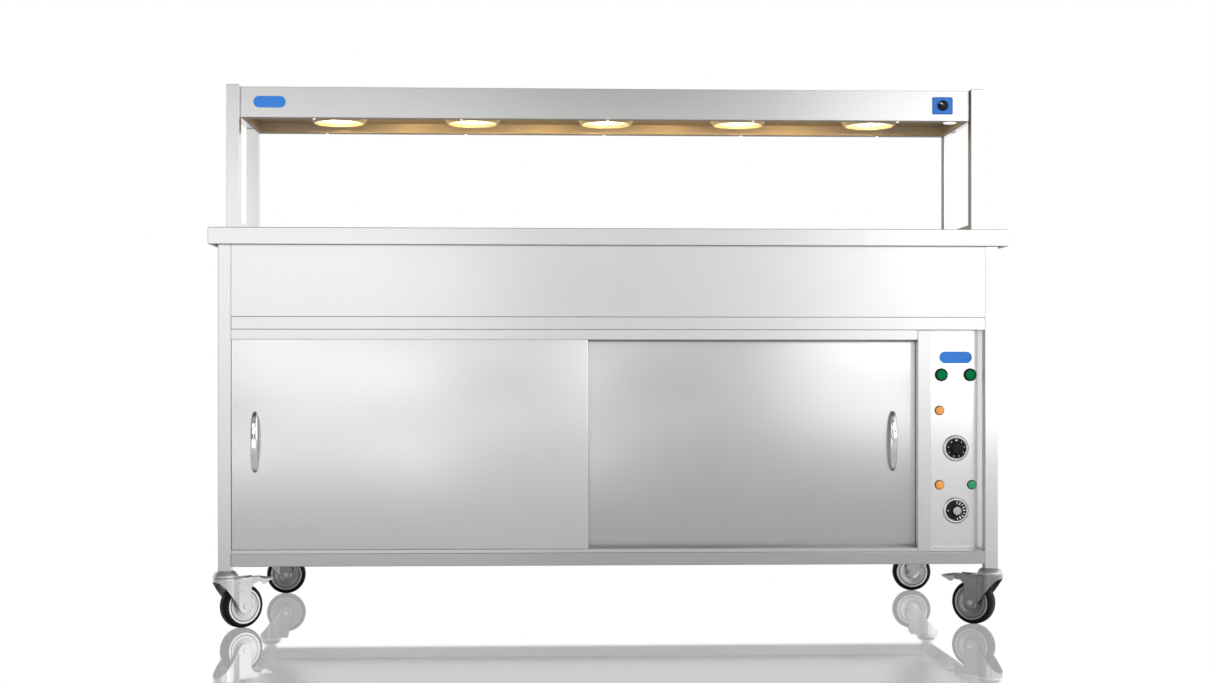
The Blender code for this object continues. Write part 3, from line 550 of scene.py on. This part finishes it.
def dial_mark(name, angle, radius, length, width, height, body, place):
    """A short white line on a dial, along a radius."""
    sunk, proud = 0.0002, 0.00015
    slab(name, rounded_outline(width / 2, length / 2, width * 0.45, 3), -sunk, proud,
         MATERIALS["white"], body, on_dial(place, angle, radius, height))


def dial_numeral(name, text, angle, radius, size, height, body, place):
    """A plain number on a dial, upright along its radius."""
    curve = bpy.data.curves.new(name, "FONT")
    curve.body = text
    curve.size = size
    curve.extrude = 0.00012
    curve.offset = 0.0002
    curve.align_x = "CENTER"
    curve.align_y = "CENTER"
    source = bpy.data.objects.new(f"{name}_text", curve)
    bpy.context.scene.collection.objects.link(source)
    bpy.context.view_layer.update()
    mesh = bpy.data.meshes.new_from_object(source.evaluated_get(bpy.context.evaluated_depsgraph_get()))
    bpy.data.objects.remove(source)
    bm = bmesh.new()
    bm.from_mesh(mesh)
    finish_piece(name, bm, MATERIALS["white"], body, on_dial(place, angle, radius, height))


def knob_bezel(level):
    """A rounded chrome ring round a dial."""
    node = f"knob_bezel_{level}"
    ring = ((0.0228, 0.0003), (0.0304, 0.0003), (0.0305, 0.0012), (0.0302, 0.0026), (0.0293, 0.0042),
            (0.0280, 0.0053), (0.0264, 0.0059), (0.0248, 0.0058), (0.0236, 0.0052), (0.0229, 0.0042))
    turned(f"{node}_ring", ring, MATERIALS["bezel"], "cabinet", on_panel(node), 96, ring=True, smooth=50,
           slot="chrome_bezel", stands_for=(node,))


def lobed_knob(name, body, place, rows, lobes):
    """A black grip from rows of (radius, lobe depth, height), its lobes spread evenly round the axis."""
    sides = 120
    rings = []
    for radius, lobe, height in rows:
        ring = []
        for i in range(sides):
            angle = 2 * math.pi * i / sides
            r = radius + lobe * math.cos(lobes * angle + math.pi / 2)
            ring.append((r * math.cos(angle), r * math.sin(angle), height))
        rings.append(ring)
    loft(name, rings, MATERIALS["black"], body, place, slot="black_knob", stands_for=(body,))


def knob_upper():
    """A black dial with a six-lobed grip and small white marks."""
    body = "knob_upper"
    place = on_panel("knob_bezel_upper")
    rows = ((0.0030, 0, -0.0150), (0.0030, 0, 0.0008), (0.0218, 0, 0.0008), (0.0222, 0, 0.0014),
            (0.0222, 0, 0.0062), (0.0219, 0, 0.0070), (0.0212, 0, 0.0075), (0.0150, 0, 0.0076),
            (0.0138, 0.0004, 0.0079), (0.0130, 0.0011, 0.0088), (0.0127, 0.0014, 0.0100),
            (0.0123, 0.0014, 0.0155), (0.0117, 0.0012, 0.0166), (0.0106, 0.0010, 0.0170),
            (0.0060, 0.0002, 0.0166))
    lobed_knob("knob_upper_dial", body, place, rows, 6)
    for i in range(9):
        length, width = (0.0022, 0.0012) if i else (0.0030, 0.0036)
        dial_mark(f"knob_upper_mark_{i + 1}", 40 * i, 0.0186, length, width, 0.0077, body, place)


def knob_lower():
    """A black dial numbered round its right side, with a round grey cap in the middle."""
    body = "knob_lower"
    place = on_panel("knob_bezel_lower")
    dial = ((0, -0.0150), (0.0030, -0.0150), (0.0030, 0.0008), (0.0218, 0.0008), (0.0222, 0.0014),
            (0.0222, 0.0060), (0.0219, 0.0069), (0.0212, 0.0075), (0.0125, 0.0078), (0.0112, 0.0084),
            (0.0104, 0.0100), (0.0102, 0.0150), (0, 0.0150))
    turned("knob_lower_dial", dial, MATERIALS["black"], body, place, 72,
           slot="black_knob", stands_for=(body,))
    cap = ((0, 0.0151), (0.0090, 0.0151), (0.0095, 0.0156), (0.0095, 0.0163), (0.0090, 0.0169),
           (0.0080, 0.0170), (0, 0.0168))
    turned("knob_lower_cap", cap, MATERIALS["cap"], body, place, 64)
    first_angle, step_angle = 4, 21
    for i in range(9):
        angle = first_angle + i * step_angle
        dial_numeral(f"knob_lower_numeral_{i + 1}", str(i + 1), angle, 0.0170, 0.0056, 0.0079, body, place)
        dial_mark(f"knob_lower_mark_{i + 1}", angle, 0.0207, 0.0016, 0.0016, 0.0078, body, place)
    dial_mark("knob_lower_index", 270, 0.0190, 0.0034, 0.0014, 0.0079, body, place)


def pill_badge(name, middle):
    """A blank blue badge with round ends."""
    half_w, half_h = PILL_SIZE[0] / 2, PILL_SIZE[1] / 2
    outline = rounded_outline(half_w, half_h, half_h - 0.0002, 12)
    # The badge's blue glows a little: painted light.
    slab(name, outline, 0.0002, 0.0012, MATERIALS["blue"], "cabinet", at(middle, FACING_OUT), 0.0004,
         slot="blue_label")


def build_controls():
    push_button("left")
    push_button("right")
    indicator("indicator_upper", "orange_lens")
    indicator("indicator_lower_left", "orange_lens")
    indicator("indicator_lower_right", "green_lens")
    knob_bezel("upper")
    knob_bezel("lower")
    knob_upper()
    knob_lower()
    buttons_z, column_x = centre("push_button_left").z, centre("knob_upper").x
    pill_badge("control_badge", (column_x, PANEL_Y, buttons_z + PILL_RISE))


# ---- Gantry --------------------------------------------------------------------------------------
GLASS_DROP = 0.0165             # from the lamp plate down to a lamp's glass
GLASS_R, GLASS_BULGE = 0.0565, 0.0030
RIVET_PITCH, RIVET_INSET, RIVET_R = 0.347, 0.0125, 0.0032
JUST_BELOW = 0.0001             # keeps a head's flat side out of the sheet it sits on
CANOPY_BADGE_X = 0.0683         # from the canopy's left end to the badge's centre


def heat_lamp(index):
    """A dished steel trim round a glowing glass, under the canopy."""
    node = f"heat_lamp_{index}"
    low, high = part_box(node)
    middle = (low + high) / 2
    trim_r = (high.x - low.x) / 2
    place = at((middle.x, middle.y, 0))
    plate_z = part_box("gantry_lamp_plate")[0].z
    glass_z = plate_z - GLASS_DROP
    trim = ((trim_r - 0.0004, plate_z - 0.0004), (trim_r, plate_z - 0.0014),
            (trim_r - 0.002, plate_z - 0.0028), (0.0612, glass_z - 0.0038), (0.0592, glass_z - 0.0044),
            (0.0576, glass_z - 0.0038), (0.0570, glass_z + 0.0050), (0.0590, glass_z + 0.0062),
            (trim_r - 0.003, plate_z - 0.0010))
    # The trim takes the canopy's warm colour: painted lamp glow.
    turned(f"{node}_trim", trim, MATERIALS["painted_glow_inside"], "cabinet", place, 72, ring=True, smooth=50,
           slot="stainless_gantry", stands_for=(node,))
    rim_z, back_z, steps = glass_z + 0.0030, glass_z + 0.0060, 8
    glass = [(0, rim_z - GLASS_BULGE)]
    for i in range(1, steps + 1):
        angle = math.pi / 2 * i / steps
        glass.append((GLASS_R * math.sin(angle), rim_z - GLASS_BULGE * math.cos(angle)))
    glass += [(GLASS_R, back_z), (0, back_z)]
    turned(f"{node}_glass", glass, MATERIALS["heat_lens"], "cabinet", place, slot="lamp_lens")


def lip_rivets():
    """Small white rivets along the two long lips of the canopy."""
    low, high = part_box("gantry_canopy")
    head = ((0, -0.0034), (RIVET_R * 0.6, -0.0031), (RIVET_R, -0.0018), (RIVET_R, 0.0), (0, 0.0))
    for side, y in (("front", low.y + RIVET_INSET), ("rear", high.y - RIVET_INSET)):
        for i in range(5):
            place = at(((i - 2) * RIVET_PITCH, y, low.z - JUST_BELOW))
            # The rivets' white glows a little: painted light.
            turned(f"canopy_rivet_{side}_{i + 1}", head, MATERIALS["white"], "cabinet", place, 20)


def gantry_knob():
    """A small ribbed knob on a blue plate with a darker edge."""
    low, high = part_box("gantry_knob_plate")
    middle = (low + high) / 2
    half_w, half_h = (high.x - low.x) / 2, (high.z - low.z) / 2
    place = at((middle.x, high.y, middle.z), FACING_OUT)
    border = 0.0022
    edge = rounded_outline(half_w, half_h, 0.003, 6)
    slab("gantry_knob_plate_back", edge, 0.0, 0.0010, MATERIALS["blue_edge"], "cabinet", place, 0.0004,
         slot="blue_label", stands_for=("gantry_knob_plate",))
    face = rounded_outline(half_w - border, half_h - border, 0.002, 6)
    slab("gantry_knob_plate_face", face, 0.0011, 0.0015, MATERIALS["blue"], "cabinet", place, 0.0002,
         slot="blue_label")
    body = "gantry_knob"
    knob_at = at((middle.x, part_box(body)[1].y, middle.z), FACING_OUT)
    rows = ((0.0020, 0, 0), (0.0118, 0, 0), (0.0125, 0, 0.0006), (0.0125, 0, 0.0036), (0.0119, 0, 0.0042),
            (0.0112, 0.0003, 0.0050), (0.0103, 0.0005, 0.0120), (0.0097, 0.0004, 0.0130),
            (0.0088, 0.0002, 0.0135), (0.0020, 0, 0.0135))
    lobed_knob("gantry_knob_grip", body, knob_at, rows, 12)
    pointer_angle = 300
    dial_mark("gantry_knob_pointer_top", pointer_angle, 0.0060, 0.0055, 0.0016, 0.0136, body, knob_at)
    on_flank = on_dial(knob_at, pointer_angle, 0.01115, 0.0085) @ Matrix.Rotation(math.radians(-98), 4, "X")
    slab("gantry_knob_pointer_side", rounded_outline(0.0008, 0.0036, 0.0004, 3), -0.0004, 0.0004,
         MATERIALS["white"], body, on_flank)


def lip_plug():
    """A round white plug under the front lip, near its right end. It shows as a pale oval."""
    low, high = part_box("gantry_canopy")
    place = at((high.x - 0.042, low.y + 0.0235, low.z - JUST_BELOW))
    profile = ((0, 0), (0.0150, 0), (0.0155, -0.0005), (0.0155, -0.0014), (0.0148, -0.0021), (0, -0.0023))
    # The plug's white glows a little: painted light.
    turned("canopy_lip_plug", profile, MATERIALS["white"], "cabinet", place, 48)


def build_gantry():
    for i in range(5):
        heat_lamp(i + 1)
    lip_rivets()
    gantry_knob()
    lip_plug()
    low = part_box("gantry_canopy")[0]
    pill_badge("canopy_badge", (low.x + CANOPY_BADGE_X, low.y, centre("gantry_knob_plate").z))


# ---- Castors -------------------------------------------------------------------------------------
TRAIL, WHEEL_R = 0.040, 0.050
FORK_TOP = 0.1142
LEG_BACK = 0.0445               # a fork without a brake slopes down from here


def castor_matrix(name):
    """A castor's local frame: the swivel axis is Z, and the wheel trails along +X."""
    swivel = Vector(JOINTS[f"{name}_swivel"]["pos_m"])
    axle = JOINTS[f"{name}_roll"]["axis"]
    heading = math.atan2(-axle[0], axle[1])
    return at((swivel.x, swivel.y, 0), Matrix.Rotation(heading, 4, "Z"))


def castor_head(name, place):
    """Stacked rings over the swivel bearing, and the bolt's washer under the post."""
    profile = ((0, 0.1308), (0.0188, 0.1308), (0.0196, 0.1302), (0.0222, 0.1291), (0.0244, 0.1270),
               (0.0262, 0.1245), (0.0276, 0.1217), (0.0281, 0.1207), (0.0283, 0.1196), (0.0283, 0.1182),
               (0.0280, 0.1171), (0.0272, 0.1163), (0.0266, 0.1160), (0.0266, 0.1149), (0, 0.1149))
    turned(f"{name}_head_cover", profile, MATERIALS["zinc"], "cabinet", place, 72, smooth=50,
           slot="zinc_castor", stands_for=(f"{name}_head",))


def fork_wall_path():
    """Plan of one side of the fork, from its front round to its back edge: (x, y) with y positive."""
    crown_r, leg_y, crease_x = 0.0283, 0.0210, 0.0235
    path = arc((0, 0), crown_r, 180, 62, 16)
    path += [(0.0182, 0.0232), (0.0210, 0.0218), (crease_x, leg_y)]
    path += [(crease_x + step / 1000, leg_y) for step in (1.3, 3, 5, 7, 9, 12, 15, 18, 21, 24, 27, 29.4)]
    path += [(0.0540, leg_y), (0.0570, leg_y), (0.0630, leg_y), (0.0700, leg_y), (0.0780, leg_y)]
    return path


def fork_bottom(x):
    """Height of the fork's lower edge along its length."""
    axle_x, axle_z, boss_r = TRAIL, WHEEL_R, 0.0162
    front = ((-0.0283, 0.1075), (-0.0239, 0.1048), (-0.0146, 0.0952), (-0.0043, 0.0819), (0.0106, 0.0627),
             (0.0248, 0.0446))
    rear = ((0.0530, 0.0600), (0.0535, 0.0860), (0.0570, 0.0950), (0.0630, 0.1000), (0.0700, 0.1020),
            (0.0780, 0.1045))
    if front[-1][0] < x < rear[0][0]:
        return axle_z - math.sqrt(max(boss_r ** 2 - (x - axle_x) ** 2, 0.0))
    run = front if x <= front[-1][0] else rear
    for (x0, z0), (x1, z1) in zip(run, run[1:]):
        if x <= x1:
            return z0 + (z1 - z0) * (x - x0) / (x1 - x0)
    return run[-1][1]


def fork_top(x, braked):
    """Height of the fork's upper edge. Without a brake its legs slope down to the axle at the back."""
    if braked or x < LEG_BACK:
        return FORK_TOP
    slope_end, slope_run = 0.0560, 0.0090
    return FORK_TOP - (FORK_TOP - slope_end) * min((x - LEG_BACK) / slope_run, 1.0)


def castor_fork(name, place, zinc, braked):
    """One pressed sheet: a round crown in front that narrows to a leg on each side of the wheel."""
    rows = 10
    side = fork_wall_path()
    if not braked:
        side = [(x, y) for x, y in side if x < 0.0545]
    path = [(x, -y) for x, y in reversed(side)] + side[1:]
    bm = bmesh.new()
    columns = []
    for x, y in path:
        bottom, top = fork_bottom(x), fork_top(x, braked)
        columns.append([bm.verts.new((x, y, bottom + (top - bottom) * k / rows)) for k in range(rows + 1)])
    for first, second in zip(columns, columns[1:]):
        for k in range(rows):
            bm.faces.new((first[k], second[k], second[k + 1], first[k + 1]))
    body = f"{name}_fork"
    wall = finish_piece(f"{body}_wall", bm, MATERIALS[zinc], body, place, 30, slot="zinc_castor",
                        stands_for=(body,))
    thicken(wall, 0.0024)
    add_bevel(wall, 0.0006, 2, 60)
    crown = arc((0, 0), 0.0270, 90, 270, 24) + [(0.044, -0.0185), (0.044, 0.0185)]
    slab(f"{body}_crown", crown, 0.1115, 0.1140, MATERIALS[zinc], body, place, 0.0006, slot="zinc_castor")
    axle_at = place @ at((TRAIL, 0, WHEEL_R), FACING_OUT)
    pin = ((0, -0.0215), (0.0048, -0.0215), (0.0048, 0.0215), (0, 0.0215))
    turned(f"{body}_axle", pin, MATERIALS["zinc"], body, axle_at, 32, slot="zinc_castor")
    hexagon = arc((0, 0), 0.0066, 0, 300, 6)
    for side_name, sign in (("near", 1), ("far", -1)):
        low, high = sorted((sign * 0.0211, sign * 0.0234))
        slab(f"{body}_nut_{side_name}", hexagon, low, high, MATERIALS["zinc"], body, axle_at, 0.0005,
             slot="zinc_castor")


def both_sides(half):
    """A profile of (radius, distance from the middle), mirrored to the wheel's other side."""
    return [(r, -y) for r, y in reversed(half)] + list(half)


def castor_wheel(name, place, tone):
    """A crowned rubber tyre on a light rim, with a groove between the rim and the dished disc."""
    body = f"{name}_wheel"
    hub_at = place @ at((TRAIL, 0, WHEEL_R), FACING_OUT)
    crown = ((WHEEL_R, 0.0), (WHEEL_R, 0.0042), (0.0497, 0.0070), (0.0489, 0.0098), (0.0476, 0.0122),
             (0.0458, 0.0143), (0.0436, 0.0156), (0.0412, 0.0160), (0.0401, 0.0157), (0.0399, 0.0140))
    tyre = [(r, -y) for r, y in reversed(crown[1:])] + list(crown)
    turned(f"{body}_tyre", tyre, MATERIALS["rubber"], body, hub_at, 128, ring=True, smooth=60,
           slot="wheel_rubber", stands_for=(body,))
    rim = ((0.0398, 0.0140), (0.0398, 0.0158), (0.0388, 0.0161), (0.0362, 0.0160), (0.0353, 0.0156),
           (0.0350, 0.0142))
    groove = ((0.0352, 0.0148), (0.0336, 0.0148))
    disc = ((0.0338, 0.0146), (0.0334, 0.0155), (0.0322, 0.0156), (0.0245, 0.0148), (0.0228, 0.0138),
            (0.0160, 0.0136), (0.0125, 0.0144), (0.0115, 0.0168), (0.0052, 0.0170))
    # On two castors the prefix picks darker copies of the rim and disc: painted shade.
    for part, half, finish, smooth in (("rim", rim, f"{tone}rim", 50), ("groove", groove, "groove", 50),
                                       ("disc", disc, f"{tone}disc", 30)):
        turned(f"{body}_{part}", both_sides(half), MATERIALS[finish], body, hub_at, 96, ring=True,
               smooth=smooth)


def brake_pedal(name, place):
    """A pressed lever, ridged along its middle, whose tread ends in two turned-down lugs."""
    body = f"{name}_brake_pedal"
    stations = ((0.0500, 0.1070, 0.0150, 0.0014), (0.0580, 0.1090, 0.0160, 0.0018),
                (0.0680, 0.1106, 0.0165, 0.0024), (0.0780, 0.1114, 0.0165, 0.0028),
                (0.0880, 0.1112, 0.0165, 0.0026), (0.0980, 0.1102, 0.0155, 0.0020),
                (0.1070, 0.1092, 0.0130, 0.0012), (0.1145, 0.1084, 0.0070, 0.0006))
    thick, edge_drop, across = 0.0028, 0.0022, 9
    rings = []
    for x, z, half_w, ridge in stations:
        upper, lower = [], []
        for i in range(across):
            s = -1 + 2 * i / (across - 1)
            height = z + ridge * (1 - s * s) - edge_drop * smoothstep(0.75, 1.0, abs(s))
            upper.append((x, s * half_w, height))
            lower.append((x, s * half_w, height - thick))
        rings.append(upper + list(reversed(lower)))
    loft(f"{body}_lever", rings, MATERIALS["zinc"], body, place, 45, slot="brake_pedal_zinc",
         stands_for=(body,))
    for side_name, sign in (("near", -1), ("far", 1)):
        lug = ((0.0630, 0.1105), (0.0770, 0.1045), (0.0865, 0.0970), (0.0915, 0.0965), (0.1000, 0.1010),
               (0.1130, 0.1075), (0.1120, 0.1098), (0.1010, 0.1085), (0.0900, 0.1085), (0.0780, 0.1118),
               (0.0660, 0.1122))
        turn = place @ at((0, sign * 0.0168, 0), FACING_OUT)
        slab(f"{body}_lug_{side_name}", lug, -0.0010, 0.0010, MATERIALS["zinc"], body, turn, 0.0004,
             slot="brake_pedal_zinc")


def build_castors():
    for name in ("castor_front_left", "castor_front_right", "castor_rear_left", "castor_rear_right"):
        place = castor_matrix(name)
        # The front right and rear left castors take darker copies of their finishes: painted shade.
        tone = "painted_shade_" if name in ("castor_front_right", "castor_rear_left") else ""
        castor_head(name, place)
        braked = f"{name}_brake_pedal" in frame["bodies"]
        castor_fork(name, place, f"{tone}zinc", braked)
        castor_wheel(name, place, tone)
        if braked:
            brake_pedal(name, place)


# ---- Studio --------------------------------------------------------------------------------------
FLOOR_HALF = 30.0
FLOOR_GLOW = 1.0                # what the camera sees far from the unit
FLOOR_MIRROR = 0.65             # the share of mirror in what the camera sees near the unit
MIRROR_ENDS = (1.9, 2.4)        # that share fades to nothing over these distances from the middle
FLOOR_FAR, FLOOR_NEAR = 0.63, 0.49      # what the unit sees of the floor in front of it
DIM_FROM, DIM_TO = -3.5, -1.2   # between these places along Y
POLISH_FROM, POLISH_TO = -0.65, -0.45   # behind this edge along Y the unit sees a mirror

WORLD_LEFT, WORLD_RIGHT = 0.25, 1.30
WORLD_FRONT, WORLD_BACK = 0.0, 1.0
WORLD_CEILING, WORLD_SEEN = 0.15, 1.0


def add_ramp(nodes, span, ends):
    """A value that goes from one end to the other over a span of its input."""
    ramp = nodes.new("ShaderNodeMapRange")
    ramp.inputs["From Min"].default_value, ramp.inputs["From Max"].default_value = span
    ramp.inputs["To Min"].default_value, ramp.inputs["To Max"].default_value = ends
    return ramp


def build_floor():
    """A white floor: a glow to the eye, mixed with a mirror near the unit. The unit sees two other zones."""
    bm = bmesh.new()
    corners = ((-FLOOR_HALF, -FLOOR_HALF), (FLOOR_HALF, -FLOOR_HALF), (FLOOR_HALF, FLOOR_HALF),
               (-FLOOR_HALF, FLOOR_HALF))
    bm.faces.new([bm.verts.new((x, y, 0.0)) for x, y in corners])
    mesh = bpy.data.meshes.new("studio_floor")
    bm.to_mesh(mesh)
    bm.free()
    material = bpy.data.materials.new("studio_floor")
    material.use_nodes = True
    nodes, links = material.node_tree.nodes, material.node_tree.links
    nodes.clear()
    output = nodes.new("ShaderNodeOutputMaterial")
    geometry = nodes.new("ShaderNodeNewGeometry")
    split = nodes.new("ShaderNodeSeparateXYZ")
    links.new(geometry.outputs["Position"], split.inputs["Vector"])
    mirror = nodes.new("ShaderNodeBsdfGlossy")
    mirror.inputs["Color"].default_value = WHITE
    mirror.inputs["Roughness"].default_value = 0.02

    glow = nodes.new("ShaderNodeEmission")
    glow.inputs["Color"].default_value = WHITE
    glow.inputs["Strength"].default_value = FLOOR_GLOW
    away = nodes.new("ShaderNodeVectorMath")
    away.operation = "LENGTH"
    fade = add_ramp(nodes, MIRROR_ENDS, (FLOOR_MIRROR, 0.0))
    to_eye = nodes.new("ShaderNodeMixShader")
    links.new(geometry.outputs["Position"], away.inputs[0])
    links.new(away.outputs["Value"], fade.inputs["Value"])
    links.new(fade.outputs["Result"], to_eye.inputs["Fac"])
    links.new(glow.outputs["Emission"], to_eye.inputs[1])
    links.new(mirror.outputs["BSDF"], to_eye.inputs[2])

    dim = nodes.new("ShaderNodeEmission")
    dim.inputs["Color"].default_value = WHITE
    fall = add_ramp(nodes, (DIM_FROM, DIM_TO), (FLOOR_FAR, FLOOR_NEAR))
    near = add_ramp(nodes, (POLISH_FROM, POLISH_TO), (0.0, 1.0))
    to_unit = nodes.new("ShaderNodeMixShader")
    links.new(split.outputs["Y"], fall.inputs["Value"])
    links.new(fall.outputs["Result"], dim.inputs["Strength"])
    links.new(split.outputs["Y"], near.inputs["Value"])
    links.new(near.outputs["Result"], to_unit.inputs["Fac"])
    links.new(dim.outputs["Emission"], to_unit.inputs[1])
    links.new(mirror.outputs["BSDF"], to_unit.inputs[2])

    ray = nodes.new("ShaderNodeLightPath")
    seen = nodes.new("ShaderNodeMixShader")
    links.new(ray.outputs["Is Camera Ray"], seen.inputs["Fac"])
    links.new(to_unit.outputs["Shader"], seen.inputs[1])
    links.new(to_eye.outputs["Shader"], seen.inputs[2])
    links.new(seen.outputs["Shader"], output.inputs["Surface"])
    mesh.materials.append(material)
    floor = bpy.data.objects.new("studio_floor", mesh)
    bpy.context.scene.collection.objects.link(floor)


def build_world():
    """White to the eye and behind the unit; darker in front of it and to its left, bright to its right."""
    world = bpy.data.worlds.new("studio")
    bpy.context.scene.world = world
    world.use_nodes = True
    nodes, links = world.node_tree.nodes, world.node_tree.links
    nodes.clear()
    output = nodes.new("ShaderNodeOutputWorld")
    seen = nodes.new("ShaderNodeBackground")
    seen.inputs["Color"].default_value = WHITE
    seen.inputs["Strength"].default_value = WORLD_SEEN
    lit = nodes.new("ShaderNodeBackground")
    lit.inputs["Color"].default_value = WHITE
    where = nodes.new("ShaderNodeTexCoord")
    split = nodes.new("ShaderNodeSeparateXYZ")
    links.new(where.outputs["Generated"], split.inputs["Vector"])

    def along(axis, span, ends):
        ramp = add_ramp(nodes, span, ends)
        links.new(split.outputs[axis], ramp.inputs["Value"])
        return ramp

    sides = along("X", (-0.7, 0.7), (WORLD_LEFT, WORLD_RIGHT))
    front = along("Y", (-0.95, -0.80), (WORLD_FRONT, 1.0))
    behind = along("Y", (0.0, 0.5), (0.0, 1.0))
    shaded = nodes.new("ShaderNodeMath")
    shaded.operation = "MULTIPLY"
    links.new(sides.outputs["Result"], shaded.inputs[0])
    links.new(front.outputs["Result"], shaded.inputs[1])
    level = nodes.new("ShaderNodeMix")
    level.data_type = "FLOAT"
    links.new(behind.outputs["Result"], level.inputs["Factor"])
    links.new(shaded.outputs["Value"], level.inputs["A"])
    level.inputs["B"].default_value = WORLD_BACK
    ceiling = along("Z", (0.45, 0.70), (1.0, WORLD_CEILING))
    total = nodes.new("ShaderNodeMath")
    total.operation = "MULTIPLY"
    links.new(level.outputs["Result"], total.inputs[0])
    links.new(ceiling.outputs["Result"], total.inputs[1])
    links.new(total.outputs["Value"], lit.inputs["Strength"])
    mix = nodes.new("ShaderNodeMixShader")
    ray = nodes.new("ShaderNodeLightPath")
    links.new(ray.outputs["Is Camera Ray"], mix.inputs["Fac"])
    links.new(lit.outputs["Background"], mix.inputs[1])
    links.new(seen.outputs["Background"], mix.inputs[2])
    links.new(mix.outputs["Shader"], output.inputs["Surface"])


# Watts of each soft box in the wall of light behind the camera: a row for each height, from left to right.
WALL_Y = -4.3
WALL_X = (-2.4, -1.6, -0.8, 0.0, 0.8, 1.6, 2.4)
BOX_WIDTH, BOX_HEIGHT, TOP_BOX_HEIGHT = 0.8, 0.4, 0.6
WALL_ROWS = {
    0.2: (1.25, 0.45, 1.06, 0.00, 0.00, 0.00, 0.00),
    0.6: (0.00, 0.82, 0.23, 1.08, 0.58, 1.53, 2.68),
    1.0: (1.51, 1.24, 1.76, 0.00, 0.71, 1.32, 0.00),
    1.4: (0.94, 1.22, 0.93, 1.48, 0.88, 1.41, 3.10),
    1.9: (2.81, 1.36, 1.46, 0.50, 0.55, 2.88, 3.38),
}


def add_light(name, kind, watts, place):
    """A light that the camera can't see."""
    data = bpy.data.lights.new(name, kind)
    data.energy = watts
    light = bpy.data.objects.new(name, data)
    bpy.context.scene.collection.objects.link(light)
    light.location = place
    light.visible_camera = False
    return light


def light_wall():
    """The wall of soft boxes that the front of the unit reflects."""
    top_row = max(WALL_ROWS)
    for z, row in WALL_ROWS.items():
        for x, watts in zip(WALL_X, row):
            if watts:
                light = add_light(f"wall_{x:+.1f}_{z:.1f}", "AREA", watts, (x, WALL_Y, z))
                light.rotation_euler = (math.radians(90), 0, 0)
                light.data.shape = "RECTANGLE"
                light.data.size = BOX_WIDTH
                light.data.size_y = TOP_BOX_HEIGHT if z == top_row else BOX_HEIGHT


LAMP_WATTS, LAMP_DROP = 0.60, 0.0230    # under each heat lamp, measured down from the lamp plate
GAP_WATTS, GAP_DROP = 0.38, 0.0140      # between each two
GLOW_FORWARD = 0.04
GLOW_COLOUR = (1.0, 0.70, 0.30)
GLOW_R = 0.004


def lamp_glow():
    """The warm light under each heat lamp, and between each two."""
    plate_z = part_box("gantry_lamp_plate")[0].z
    lamps = [centre(f"heat_lamp_{i + 1}") for i in range(5)]
    gaps = [(first + second) / 2 for first, second in zip(lamps, lamps[1:])]
    glows = [(place, LAMP_DROP, LAMP_WATTS) for place in lamps]
    glows += [(place, GAP_DROP, GAP_WATTS) for place in gaps]
    for i, (place, drop, watts) in enumerate(glows):
        light = add_light(f"lamp_glow_{i + 1}", "POINT", watts,
                          (place.x, place.y - GLOW_FORWARD, plate_z - drop))
        light.data.color = GLOW_COLOUR
        light.data.shadow_soft_size = GLOW_R


CAMERA_PLACE = (-0.1568, -4.1772, 0.5612)
CAMERA_TURN = -0.03828
LENS_MM, SENSOR_MM, SHIFT_UP = 50.58, 36.0, 0.03091


def build_camera():
    data = bpy.data.cameras.new("camera")
    data.sensor_width = SENSOR_MM
    data.lens = LENS_MM
    data.shift_y = SHIFT_UP
    camera = bpy.data.objects.new("camera", data)
    bpy.context.scene.collection.objects.link(camera)
    camera.location = CAMERA_PLACE
    camera.rotation_euler = (math.radians(90), 0, CAMERA_TURN)
    bpy.context.scene.camera = camera
    bpy.context.scene.view_settings.view_transform = "Standard"


# ---- Build ---------------------------------------------------------------------------------------
dress_cad()
door_pressing("door_left")
door_pressing("door_right")
bow_handle("door_left_handle", "door_left")
bow_handle("door_right_handle", "door_right")
build_controls()
build_gantry()
build_castors()
build_floor()
build_world()
light_wall()
lamp_glow()
build_camera()
